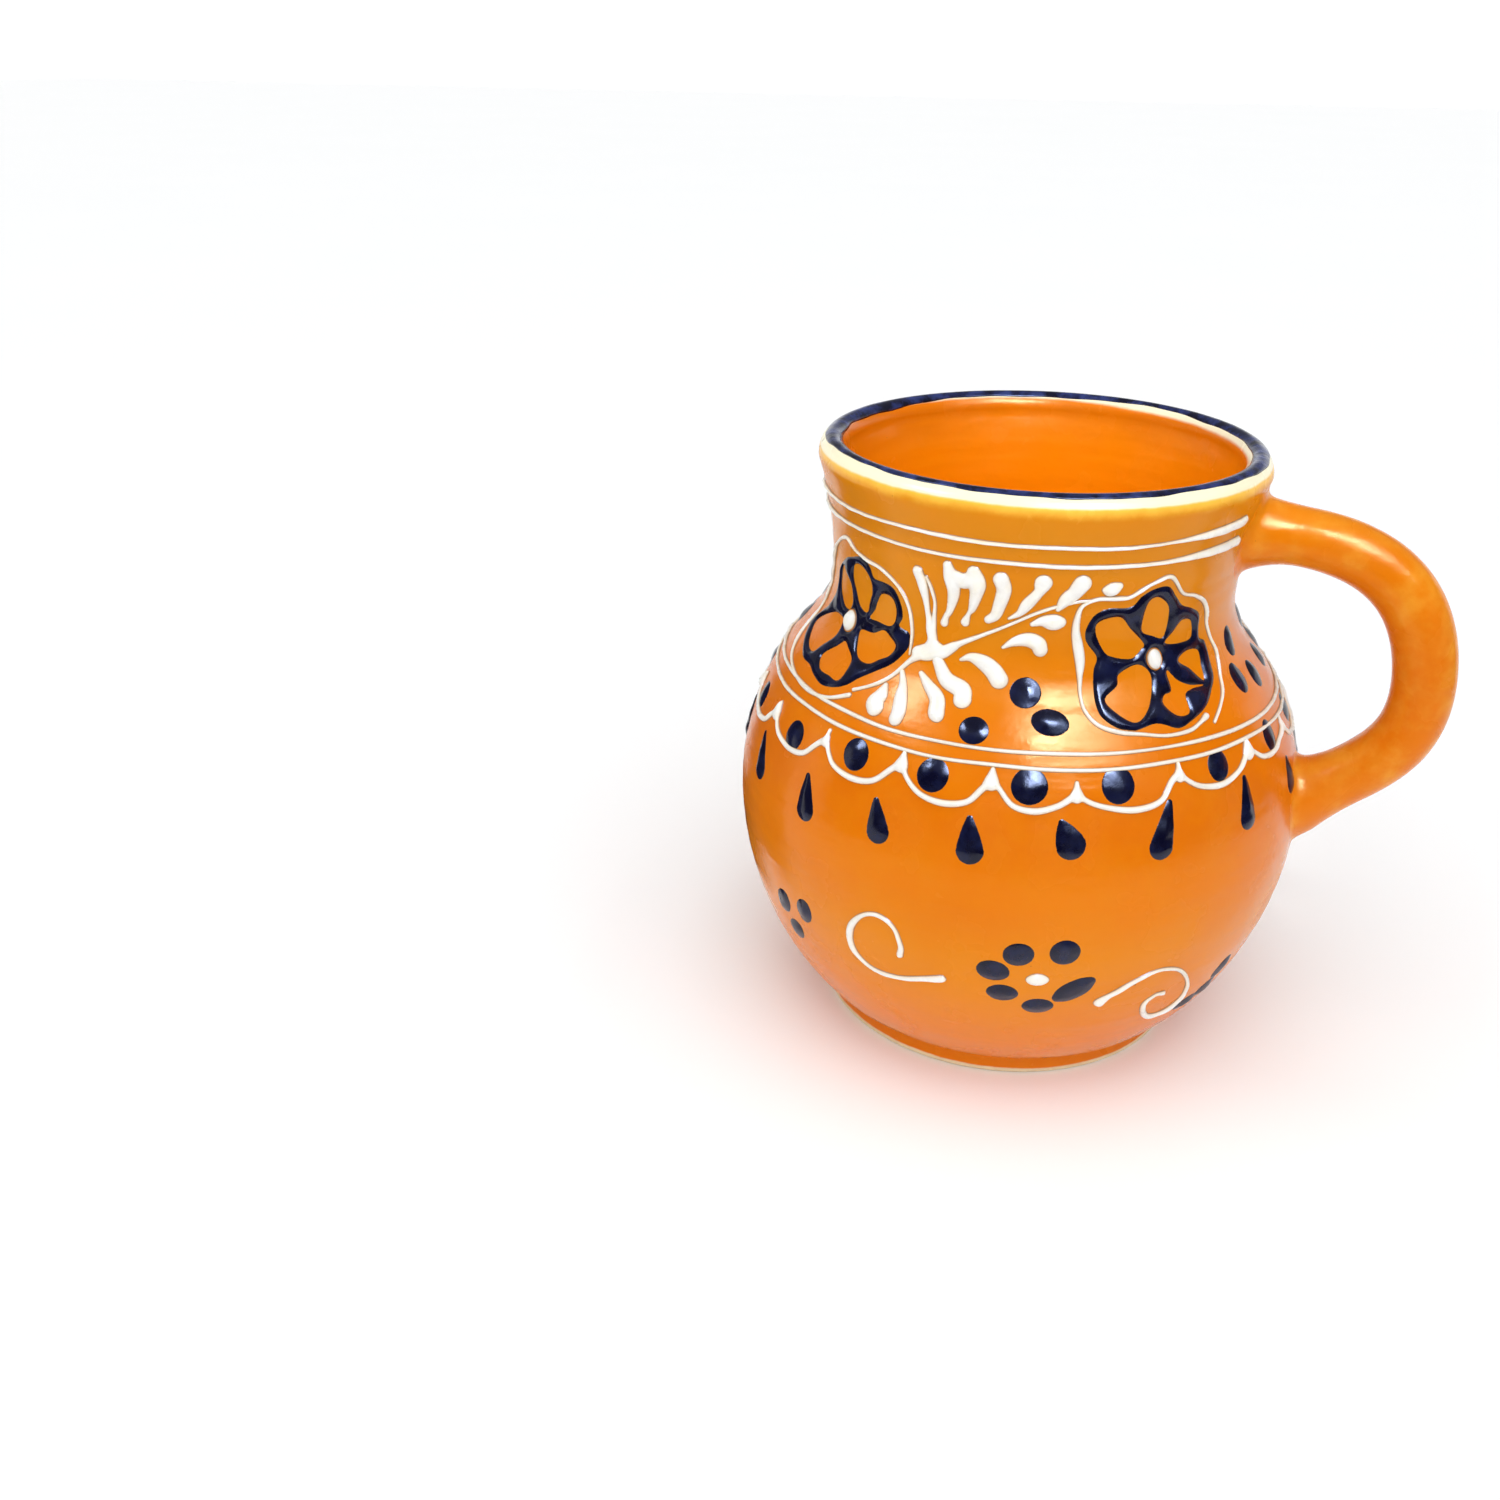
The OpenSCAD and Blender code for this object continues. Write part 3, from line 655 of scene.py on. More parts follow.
def pot_outline():
    """The whole outline as (radius, height, share inside), from under the foot to the middle of the floor"""
    outline = [(r, z, 0) for r, z in foot_profile()]
    outline += [(float(pot_r(z)), z, 0) for z in wall_heights(FOOT_H + 0.3, LIP_Z, 0.9)[:-1]]
    for a in np.linspace(0, 180, 25):
        c, s = math.cos(math.radians(a)), math.sin(math.radians(a))
        outline.append((LIP_MID + LIP_HALF * c, LIP_Z + LIP_CROWN * s, a / 180))
    outline += [(float(pot_r(z, WALL)), z, 1) for z in wall_heights(FLOOR_EDGE_Z, LIP_Z, 1.1)[::-1][1:]]
    edge = (float(pot_r(FLOOR_EDGE_Z, WALL)), FLOOR_EDGE_Z)
    corner = [edge, (edge[0] - CORNER_IN, CORNER_Z), (FLOOR_R, FLOOR_Z + FLOOR_DISH)]
    outline += [(*bezier(corner, t), 1) for t in np.linspace(0, 1, 13)[1:]]
    for share in np.linspace(1, 0, 17)[1:]:
        ring = FLOOR_RING_RISE * math.sin(share * FLOOR_RING_TURNS) * share
        outline.append((FLOOR_R * share, FLOOR_Z + FLOOR_DISH * share**2 + ring, 1))
    return np.array(outline)


def make_pot(material):
    outline = pot_outline()
    columns = 288
    angles = np.arange(columns) * 360 / columns
    r, z = outline[1:-1, :1], outline[1:-1, 1:2]
    r = r - wobble(angles[None, :], z) * np.clip(r / 20, 0, 1)
    a = np.radians(angles)[None, :]
    points = np.stack(np.broadcast_arrays(r * np.cos(a), r * np.sin(a), z), axis=-1).reshape(-1, 3)
    rows = len(outline) - 2
    faces = strips(rows, columns)
    points = np.vstack([points, [[0, 0, outline[0, 1]], [0, 0, outline[-1, 1]]]])
    start, end = rows * columns, rows * columns + 1
    top = (rows - 1) * columns
    for j in range(columns):
        k = (j + 1) % columns
        faces.append((start, k, j))
        faces.append((end, top + j, top + k))
    piece = add_piece("thrown_pot", points, faces, material, "pot")
    inside = np.repeat(outline[1:-1, 2], columns)
    set_attribute(piece, "inside", np.concatenate([inside, [0, 1]]))


def coil_point(t, turn):
    """Point on the coil's skin, at a turn round its section from its outer side"""
    p = bezier(HANDLE_PULLS, t)
    ahead = bezier(HANDLE_PULLS, t + 0.001) - bezier(HANDLE_PULLS, t - 0.001)
    out = np.array([-ahead[1], ahead[0]]) / np.hypot(*ahead)
    gap = max(0.0, p[0] - float(pot_r(p[1])))
    near = max(0.0, 1 - gap / ROOT_RUN)
    half = (HANDLE_TOP_D * (1 - t) + HANDLE_LOW_D * t) / 2 + ROOT_FLARE * near**2
    half *= 1 - COIL_UNEVEN * (1 + math.sin(9 * t + 1.3) * math.cos(2 * turn))
    q = p + half * math.cos(turn) * out
    return np.array([q[0], half * math.sin(turn), q[1]])


def coil_gap(t, turn):
    """Distance of that point from the pot, measured from the axis"""
    q = coil_point(t, turn)
    return math.hypot(q[0], q[1]) - float(pot_r(q[2]))


def coil_end(turn, low, high, target):
    """Where along the coil its skin is a distance from the pot"""
    for _ in range(40):
        mid = (low + high) / 2
        if coil_gap(mid, turn) < target:
            low = mid
        else:
            high = mid
    return (low + high) / 2


def on_pot_over(point, lift=0.0):
    """The pot's surface at the angle and height of a point"""
    return on_pot(math.degrees(math.atan2(point[1], point[0])), point[2], lift)


def root_points(turn, near, far, fillet, steps):
    """Skin of a luted root: from inside the clay, over the pot's surface and up on to the coil"""
    touch = coil_point(coil_end(turn, near, far, 0.0), turn)
    leave = coil_end(turn, near, far, fillet)
    start = coil_point(leave, turn)
    step = 0.002 if far > near else -0.002
    along = coil_point(leave + step, turn) - start
    along /= np.linalg.norm(along)
    middles = [coil_point(coil_end(v, near, far, 0.0), v) for v in (0, math.pi)]
    middle = (middles[0] + middles[1]) / 2
    away = touch - middle
    away /= np.linalg.norm(away)
    foot = on_pot_over(touch + away * fillet * FILLET_SPREAD)
    inner = on_pot_over(foot + away, -ROOT_SINK)
    pulls = [foot, foot - away * fillet * FILLET_PULL, start - along * fillet * FILLET_PULL, start]
    return [inner] + [bezier(pulls, t) for t in np.linspace(0, 1, steps)], leave


def make_handle(material):
    columns, rings, steps = 48, 110, 9
    lines = []
    for j in range(columns):
        turn = 2 * math.pi * j / columns
        first, start = root_points(turn, 0.0, 0.5, FILLET_TOP, steps)
        last, end = root_points(turn, 1.0, 0.5, FILLET_LOW, steps)
        middle = [coil_point(t, turn) for t in np.linspace(start, end, rings)[1:-1]]
        lines.append(first + middle + last[::-1])
    points = np.array(lines).transpose(1, 0, 2)
    rows = points.shape[0]
    faces = [tuple(reversed(f)) for f in strips(rows, columns)]
    faces.append(tuple(range(columns)))
    faces.append(tuple(reversed(range((rows - 1) * columns, rows * columns))))
    piece = add_piece("coil_handle", points.reshape(-1, 3), faces, material, "handle")
    outer = np.cos(2 * np.pi * np.arange(columns) / columns)
    set_attribute(piece, "outer", np.tile(np.abs(outer), rows))


# Borders of the cobalt band as (angle, turn over the crown from its outer side)
LIP_BAND_OUTER = [(-180, 56), (-165, 52), (-137, 72), (-115, 67), (-77, 62), (-60, 60), (-39, 67),
                  (-20, 61), (0, 53), (20, 56), (90, 60), (150, 60)]
LIP_BAND_INNER = [(-180, 134), (-167, 139), (-120, 128), (-60, 126), (0, 128), (25, 130), (43, 130),
                  (60, 118), (74, 121), (90, 126), (110, 130), (125, 125), (136, 128), (154, 141),
                  (170, 136)]

# How the brush shook along each border, as (degrees, times round, start)
OUTER_SHAKES = [(1.6, 17, 1), (1.2, 31, 0)]
INNER_SHAKES = [(1.5, 9, 0), (1.5, 23, 2)]
BAND_SINK = 0.06


def band_border(points, shakes, angles):
    """Turns over the crown at angles, read off a smooth ring of (angle, turn)"""
    line = np.vstack([smooth_run(points), smooth_run([points[-1], (points[0][0] + 360, points[0][1])])])
    level = np.interp((angles + 180) % 360 - 180, line[:, 0], line[:, 1])
    return level + sum(size * np.sin(count * np.radians(angles) + start) for size, count, start in shakes)


def make_lip_band(material):
    """Brushed cobalt over the crown of the lip, with uneven borders"""
    columns, across = 360, 13
    angles = np.arange(columns) * 360 / columns
    a = np.radians(angles)
    outer = band_border(LIP_BAND_OUTER, OUTER_SHAKES, angles)
    inner = band_border(LIP_BAND_INNER, INNER_SHAKES, angles)
    rows, inset = [], []
    for share in list(np.linspace(0, 1, across)) + list(np.linspace(1, 0, across)[1:-1]):
        top = len(rows) < across
        turn = np.radians(outer + (inner - outer) * share)
        reach = math.sin(math.pi * share) ** 0.5 if 0 < share < 1 else 0.0
        lift = BAND_T * reach - 0.01 if top else -BAND_SINK
        r = LIP_MID + (LIP_HALF + lift) * np.cos(turn) - wobble(angles, LIP_Z)
        z = LIP_Z + (LIP_CROWN + lift) * np.sin(turn)
        rows.append(np.stack([r * np.cos(a), r * np.sin(a), z], axis=-1))
        inset += [min(share, 1 - share) * 5.0] * columns
    faces = [tuple(reversed(face)) for face in strips(len(rows), columns, closed_rows=True)]
    piece = add_piece("cobalt_lip_band", np.vstack(rows), faces, material, "lip_band")
    set_attribute(piece, "inset", inset)


# Ornament. Each piece below gives raised() its rise, the run of its round edge and the crown of its middle.

def sway(points, amount):
    """The slight unevenness of a hand-held slip trailer"""
    return [(a, z + RNG.normal(0, amount), w * (1 + RNG.normal(0, 0.10))) for a, z, w in points]


NECK_LINE_Z = (92.45, 89.5)
NECK_LINE_LEADS = (0.6, 0.3)
NECK_LINE_END = 18.5
SHOULDER_LINE_Z = (63.5, 61.6)
SHOULDER_DIP, DIP_TURN = 0.8, 22


def make_neck_lines(material):
    """Two lines that rise and swell at their ends beside the handle"""
    sheet = Sheet((10, 350), (87, 96))
    angles = np.linspace(NECK_LINE_END, 360 - NECK_LINE_END, 25)
    for z, lead in zip(NECK_LINE_Z, NECK_LINE_LEADS):
        line = sway([(a, z, LINE_HALF) for a in angles], 0.1)
        for k, share, half in ((0, 1, 0.85), (-2, 0.6, 0.75), (-1, 1, 0.95)):
            line[k] = (line[k][0], z + lead * share, half)
        sheet.stroke(line)
    raised("trailed_neck_lines", [sheet], SLIP_RISE, 0.55, 0.1, material, "neck_lines")


def make_shoulder_lines(material):
    """Two closed lines that dip a little under the handle"""
    sheet = Sheet((-180, 180), (59, 66.5))
    angles = np.linspace(-180, 180, 31)[:-1]
    for z in SHOULDER_LINE_Z:
        level = sway([(a, z, LINE_HALF) for a in angles], 0.1)
        line = [(a, h - SHOULDER_DIP * math.exp(-(a / DIP_TURN) ** 2), w) for a, h, w in level]
        a, h, w = line[0]
        sheet.stroke(line + [(a + 360, h, w)])
    raised("trailed_shoulder_lines", [sheet], SLIP_RISE, 0.55, 0.1, material, "shoulder_lines")


# Cusps of the scallops as (angle, height), the drop from each to the bottom after it, and their sizes in
# turn. The dots and drops at the first cusps were seen, and the others go on in their rhythm.
CUSPS = [(-160.7, 57.8), (-141.5, 58.5), (-121.5, 59.5), (-102.1, 60.3), (-83.5, 60.3), (-66.9, 59.1),
         (-44.9, 60.4), (-24.5, 60.5), (-5.7, 59.7), (13.3, 59.9), (33.3, 60.3), (53.3, 59.7),
         (73.3, 60.2), (93.3, 59.5), (113.3, 60), (134.3, 60.1), (156.3, 59.6), (178.3, 58.9)]
SAGS = [3.4, 3.6, 3.9, 4.5, 2.9, 3.0, 3.4, 2.3, 3.6, 4, 3.4, 4.2, 3.8, 4, 3.6, 4.2, 3.7, 3.4]
CUSP_SIZES = (0.9, 1.3, 0.8, 1.15, 1.2, 1.0)
SEEN_CUSPS = 8

# Bottom of a scallop as (share of its span, height over its lowest point, half width)
SCALLOP_BOTTOM = [(0.27, 0.55, 0.48), (0.52, 0, 0.56), (0.76, 0.7, 0.52)]


def make_scallops(material):
    sheet = Sheet((-180, 180), (52, 62.6))
    for i, ((a, z), sag) in enumerate(zip(CUSPS, SAGS)):
        b, z_next = CUSPS[(i + 1) % len(CUSPS)]
        span = (b - a) % 360
        low = min(z, z_next) - sag
        lean = RNG.normal(0, 0.02)
        line = [(a, z - 0.4, 0.5), (a + 0.10 * span, z - sag * 0.52, 0.45)]
        line += [(a + (share + lean) * span, low + up, half) for share, up, half in SCALLOP_BOTTOM]
        sheet.stroke(line + [(a + 0.90 * span, z_next - sag * 0.45, 0.56), (a + span, z_next - 0.4, 0.6)])
        size = CUSP_SIZES[i % len(CUSP_SIZES)]
        sheet.stroke([(a, z - 0.9, size), (a, z + 0.1, 0.6 * size), (a, z + 0.9, 0.38)])
    raised("trailed_scallops", [sheet], SLIP_RISE * 1.1, 0.7, 0.12, material, "scallops")


# Share by which a dot is fuller at one end than in its middle, and thinner at the other
EGG = 0.06
DOT_MARGIN = 0.8
DOT_CROWN = 0.04


def dot(middle, width, height, lean):
    """Brush points of an egg-shaped dot, its long side leant from level"""
    long, short = max(width, height) / 2 + 0.02, min(width, height) / 2
    base = math.radians(lean + (0 if width >= height else 90))
    spread = long**2 - short**2
    points = []
    for k in (-1, -0.5, 0, 0.5, 1):
        off = k * spread / long
        half = short * math.sqrt(1 - off**2 / spread) * (1 - EGG * k)
        points.append(beside(middle, off * math.cos(base), off * math.sin(base), half))
    return points


def dots_piece(name, dots, material, node, rise=COBALT_RISE, edge=1.9):
    """One piece from oval dots, each (angle, height, width, tall, lean)"""
    sheets = []
    for a, z, w, h, lean in dots:
        reach = max(w, h) / 2 + DOT_MARGIN
        turn = math.degrees(reach / float(pot_r(z)))
        sheet = Sheet((a - turn, a + turn), (z - reach, z + reach))
        sheet.stroke(dot((a, z), w, h, lean))
        sheets.append(sheet)
    raised(name, sheets, rise, edge, DOT_CROWN, material, node)


def uneven_dot(a, z, w, h=None, lean=None):
    """A dot near a place, as uneven as the painter's hand"""
    h = h or w * (1 + RNG.normal(0, 0.06))
    lean = RNG.uniform(-40, 40) if lean is None else lean
    return (a + RNG.normal(0, 0.3), z + RNG.normal(0, 0.15), w * (1 + RNG.normal(0, 0.04)), h, lean)


SEEN_SCALLOP_DOTS = [(-154.3, 56.9, 4.4, 4.8, 0), (-131.4, 57.1, 4.6, 4.9, 0), (-112.9, 59, 4.6, 5, 10),
                     (-95.2, 59.3, 4.8, 5.1, -8), (-76.1, 59.5, 5.2, 5.3, 0), (-58.6, 59.6, 5, 5.4, 5),
                     (-34.6, 59.7, 4.2, 4.7, 0), (-14.1, 59.8, 3.9, 5, 0)]
SCALLOP_DOT_Z, SCALLOP_DOT_W = 59.4, 4.7


def make_scallop_dots(material):
    dots = list(SEEN_SCALLOP_DOTS)
    for (a, _), (b, _) in zip(CUSPS[SEEN_CUSPS:], CUSPS[SEEN_CUSPS + 1:] + CUSPS[:1]):
        dots.append(uneven_dot(a + ((b - a) % 360) / 2, SCALLOP_DOT_Z, SCALLOP_DOT_W))
    dots_piece("cobalt_scallop_dots", dots, material, "scallop_dots")


# Drops as (angle, height) of the fine end and of the full end, and the width
SEEN_DROPS = [(-162.2, 54, -162.5, 48.2, 3.8), (-143.2, 53.6, -140.9, 48.4, 4.0),
              (-123.1, 53, -121.9, 48, 4.0), (-105.5, 53.8, -104.0, 49.5, 3.9),
              (-86.7, 54.3, -86.0, 49.8, 4.2), (-69.7, 54.8, -67.9, 51.7, 4.5),
              (-48.1, 56.4, -50.4, 50.4, 4.0), (-27.9, 56.6, -28.4, 50.8, 3.8)]
DROP_TOP, DROP_LOW, DROP_W = 55.2, 50.3, 4.2
DROP_SHIFT = 2
DROP_MARGIN = 0.9


def make_drops(material):
    drops = list(SEEN_DROPS)
    for cusp, _ in CUSPS[SEEN_CUSPS:]:
        a = cusp - DROP_SHIFT
        lean = RNG.normal(0, 1.2)
        width = DROP_W * (1 + RNG.normal(0, 0.05))
        drops.append((a + lean, DROP_TOP + RNG.normal(0, 0.3), a, DROP_LOW + RNG.normal(0, 0.3), width))
    sheets = []
    for a, z, b, low, w in drops:
        reach = w / 2 + DROP_MARGIN
        turn = math.degrees(reach / BELLY_R)
        sheet = Sheet((min(a, b) - turn, max(a, b) + turn), (low - reach, z + 1))
        sheet.stroke([(a, z, 0.55), ((a + b) / 2, (z + low) / 2, w * 0.34), (b, low, w / 2)])
        sheets.append(sheet)
    raised("cobalt_drops", sheets, COBALT_RISE, 1.7, DOT_CROWN, material, "teardrops")


# Shoulder flowers, as offsets along the girth and up from their middles. "presses" gives how many times its
# plain thickness the frame has at some of its points, and "heart" is a width, a height and a lean.
OPEN_FLOWER = {
    "outline": [(-11.5, 4), (-11.5, 5.5), (-10.5, 7.5), (-8.5, 8.5), (-5, 8.5), (-3.5, 10), (-1.5, 11),
                (1, 11), (3, 9), (4.5, 7.5), (7, 6.5), (9, 5), (9.5, 1.5), (11, 0.5), (11.5, -2),
                (11, -4.5), (9, -6), (6.5, -7.5), (3.5, -8.5), (1, -9), (-2, -8), (-6, -8.5),
                (-9, -7), (-10, -5), (-10, -1), (-9.5, 1), (-11, 3)],
    "cells": [[(-10, 5), (-9.5, 6.5), (-6.5, 7), (-4.5, 5), (-2, 2.5), (-2.5, 1.5), (-4, 0.5), (-7, 1),
               (-8.5, 2)],
              [(-2, 9), (-0.5, 9.5), (1.5, 8), (2, 6), (1.5, 3), (-0.5, 3.5), (-2.5, 4.5), (-2.5, 7)],
              [(2, 2), (3.5, 3.5), (5, 5), (7, 4.5), (7.5, 2), (5.5, 1.5)],
              [(4.5, -1), (6.5, 0), (9, -0.5), (9, -3), (8.5, -4.5), (6.5, -2.5)],
              [(2, -2), (3.5, -3.5), (5.5, -4.5), (8, -5), (5.5, -5), (4, -5.5), (3.5, -7.5),
               (1.5, -7.5), (0, -6), (0.5, -5), (2, -4.5)],
              [(-6, -1.5), (-3, -0.5), (-1, -2), (-1.5, -4.5), (-3, -6.5), (-5, -7.5), (-7.5, -6),
               (-8.5, -4.5), (-6.5, -3)]],
    "frame": [(6, -8.5), (4.5, -9), (2.5, -9.5), (-1, -9.5), (-4.5, -9), (-7.5, -8.5), (-10, -7.5),
              (-11.5, -6), (-12, -4), (-12, -2), (-12, 0.5), (-12.5, 3), (-13, 5), (-13, 7),
              (-12.5, 9), (-10.5, 10), (-7.5, 10), (-5.5, 10), (-4, 11), (-2, 12), (1, 12.5),
              (4, 9.5), (7, 8.5), (10, 6.5), (11.5, 2.5), (13.5, -1.5), (12.5, -4.5), (10.5, -7),
              (7, -9.5)],
    "presses": {0: 1.3, 10: 2.3, 11: 2.3, 12: 1.8, 13: 1.4, -1: 0.8},
    "heart": (2.6, 3.2, 18),
    "middle": (-44.1, 74.4)}
CLOSED_FLOWER = {
    "outline": [(-1, 10), (2.5, 11), (4.5, 10), (5.5, 8.5), (8, 8.5), (10, 8), (11.5, 6), (12, 4),
                (11.5, 2.5), (13.5, 2), (14, 0.5), (13.5, -1), (12, -3), (10, -4.5), (8, -6),
                (6.5, -7.5), (4.5, -8.5), (2, -9), (-1, -8.5), (-3, -8), (-6, -8), (-9, -7),
                (-12, -5.5), (-13, -4), (-10, -1), (-7.5, 2.5), (-6.5, 6.5), (-3.5, 9)],
    "cells": [[(-4.5, 7.5), (-3, 6.5), (-1.5, 5.5), (-0.5, 3.5), (-1, 1.5), (-3, 1.5), (-5, 3), (-5.5, 5)],
              [(0, 9), (2, 9.5), (4, 8.5), (5, 6.5), (4.5, 4.5), (4, 2.5), (2, 3), (0.5, 5), (-0.5, 7)],
              [(7.5, 6.5), (9.5, 6.5), (10.5, 5), (10.5, 3), (9.5, 2), (7, 2), (5, 2), (6, 3.5), (6.5, 5)],
              [(3.5, -0.5), (6.5, 0), (8.5, 1), (10, 0.5), (11.5, -0.5), (11, -2), (9.5, -3), (8, -4),
               (6, -4), (4.5, -3)],
              [(1, -3), (2.5, -3.5), (4.5, -4.5), (5, -6), (4.5, -7.5), (2.5, -7.5), (0, -7.5),
               (-1.5, -6.5), (-1.5, -5.5), (0, -4)],
              [(-11, -4), (-8.5, -2), (-5, -0.5), (-2.5, -0.5), (-2, -1), (-2, -3), (-3.5, -5),
               (-4.5, -6.5), (-6.5, -6.5), (-9, -5.5)]],
    "frame": [(8, -8.4), (4.5, -10), (0, -10.6), (-6, -10), (-10.4, -8.8), (-13, -5.4), (-13.2, -1),
              (-12, 3.4), (-9.8, 7.8), (-6, 11.2), (-2, 12.8), (0.6, 11.6), (3.6, 10.9), (7.6, 10.4),
              (10.8, 8.8), (13, 6), (14, 2.6), (14.4, -1)],
    "presses": {0: 1.3, -1: 0.8},
    "heart": (3.2, 3.5, -14),
    "middle": (-134.9, 73.9)}
FLOWERS = [(OPEN_FLOWER, 0), (CLOSED_FLOWER, 0), (OPEN_FLOWER, 180), (CLOSED_FLOWER, 180)]


def flower_sheet(middle, reach=15.5):
    turn = math.degrees(reach / float(pot_r(middle[1])))
    return Sheet((middle[0] - turn, middle[0] + turn), (middle[1] - 11.8, middle[1] + 14.4))


def make_flowers(cobalt, slip):
    """Petals as a lace of cobalt with open cells, which leaves room for the frame and the heart"""
    laces, frames, hearts = [], [], []
    for flower, turn in FLOWERS:
        middle = turned(flower["middle"], turn)
        lace, frame_sheet, room = [flower_sheet(middle) for _ in range(3)]
        heart = flower_sheet(middle, 4)
        lace.area([beside(middle, *place) for place in flower["outline"]])
        for cell in flower["cells"]:
            lace.area([beside(middle, *place) for place in cell], cut=True)
        line = [beside(middle, *place, LINE_HALF) for place in flower["frame"]]
        for k, times in flower["presses"].items():
            line[k] = (*line[k][:2], LINE_HALF * times)
        frame_sheet.stroke(sway(line, 0.05))
        for sheet in (heart, room):
            sheet.stroke(dot(middle, *flower["heart"]))
        lace.cut_free(frame_sheet)
        lace.cut_free(room)
        laces.append(lace)
        frames.append(frame_sheet)
        hearts.append(heart)
    raised("cobalt_flowers", laces, COBALT_RISE, 0.8, 0.03, cobalt, "flower_petals")
    raised("trailed_flower_frames", frames, SLIP_RISE, 0.55, 0.1, slip, "flower_frames")
    raised("slip_flower_hearts", hearts, SLIP_RISE * 1.2, 0.9, 0.1, slip, "flower_centres")


# Fern spray: strokes as (along, up, half width) from the point it grows from
SPRAY_MIDDLE = (-105.0, 73.9)
STEMS = [
    [(-1.5, -0.5, 1.1), (0, 0, 1.4), (1, 0.5, 1.6), (2.5, 0.5, 1.2), (4, 1.5, 0.8), (5.5, 2.5, 0.5),
     (11, 5.5, 0.35), (16.5, 8.5, 0.35), (21, 10, 0.3), (24.5, 10.5, 0.25)],
    [(0.5, 0.5, 1.2), (0.5, 2, 1.1), (0, 3.5, 0.8), (-0.5, 5.5, 0.55), (-1, 7.5, 0.65), (-1.5, 9.5, 0.9),
     (-2.5, 12, 1.1)],
    [(0.5, 2, 0.65), (0.5, 5, 0.45), (0.5, 7.5, 0.4), (0, 9.5, 0.35), (-1, 11.5, 0.25)],
    [(-1.5, -1, 0.75), (-2.5, -2, 0.5), (-4, -4, 0.5), (-5.5, -5.5, 0.4), (-7, -6.5, 0.35),
     (-9, -7.5, 0.35)]]
STROKES = [
    [(2.5, 14, 1.1), (3, 12, 1.4), (3.5, 10, 1.1), (3, 7, 0.65), (2.5, 6, 0.45), (2.2, 4.8, 0.7)],
    [(4, 12.5, 1.1), (5, 12, 1.2), (6, 12.5, 1.1)],
    [(6.5, 13.5, 1.2), (7, 12, 1.3), (7, 10.5, 1), (6.5, 8, 0.7), (6, 7, 0.45), (5.5, 5.7, 0.7)],
    [(10.5, 13, 1.2), (11, 11.5, 1.2), (10.5, 9, 1.1), (10, 7.5, 0.9), (9, 6.5, 0.65)],
    [(16.5, 13, 1.35), (16, 11.5, 1.2), (14.5, 9.5, 0.9), (13.5, 8, 0.5), (12, 7, 0.25)],
    [(22, 13, 1.3), (21, 11.5, 1.2), (20, 10.5, 0.9), (19, 9, 0.45)],
    [(25.5, 12, 0.5), (26.5, 12, 1), (27.5, 12.5, 0.7)],
    [(15.5, 6.5, 0.4), (17, 7, 1), (18.5, 7, 1.25), (19.5, 7, 1.1)],
    [(11.5, 2.5, 0.3), (13, 3.5, 0.75), (15, 4, 1.15), (16.5, 3.5, 1.35), (17, 2.7, 1.1)],
    [(5.5, 0, 0.3), (7, 0.5, 0.8), (9, 0, 1.25), (10.5, -1, 1.45), (11.5, -2, 1.25)],
    [(2, -1, 0.75), (4, -3, 1.2), (6.5, -4, 1.4), (7, -5, 1.4)],
    [(0, -3, 0.5), (1.5, -4, 1), (3.5, -5.5, 1.3), (4, -7, 1.3), (4.3, -7.5, 1.1)],
    [(-3, -3.5, 0.5), (-2, -5, 0.85), (-1.5, -6.5, 1.15), (-1, -8, 1.3), (-1, -9, 1.1)],
    [(-4.5, -5.5, 0.55), (-4.5, -7, 1), (-5, -8, 1.4), (-4.5, -8.5, 1.25)]]


def make_sprays(material):
    stems, strokes = [], []
    for turn in (0, 180):
        middle = turned(SPRAY_MIDDLE, turn)
        for sheets, lines, amount in ((stems, STEMS, 0.04), (strokes, STROKES, 0.06)):
            sheet = Sheet((middle[0] - 20, middle[0] + 52), (middle[1] - 11.2, middle[1] + 15.4))
            for line in lines:
                sheet.stroke(sway([beside(middle, *point) for point in line], amount))
            sheets.append(sheet)
    raised("trailed_spray_stems", stems, SLIP_RISE, 0.6, 0.12, material, "spray_stems")
    raised("trailed_spray_strokes", strokes, SLIP_RISE * 1.15, 0.8, 0.12, material, "spray_strokes")


SEEN_SHOULDER_DOTS = [(-78.3, 70.65, 4.5, 4.6, 0), (-72.2, 67.25, 5.6, 4.1, -8), (-88.6, 65.55, 4.4, 4.2, 0),
                      (-11.3, 72.85, 3.6, 4.8, 0), (-15.5, 68.25, 3.7, 4.6, 0), (-6.4, 67.25, 3.7, 4.4, 0)]
BACK_SHOULDER_DOTS = [(181.5, 71.2), (187, 67.2), (174.5, 66)]
BACK_SHOULDER_DOT_W = 4.3


def make_shoulder_dots(material):
    dots = list(SEEN_SHOULDER_DOTS)
    dots += [uneven_dot(a + 180, *rest) for a, *rest in SEEN_SHOULDER_DOTS[:3]]
    dots += [uneven_dot(-a, *rest) for a, *rest in SEEN_SHOULDER_DOTS[3:]]
    dots += [uneven_dot(*place, BACK_SHOULDER_DOT_W) for place in BACK_SHOULDER_DOTS]
    dots_piece("cobalt_shoulder_dots", dots, material, "shoulder_dots")


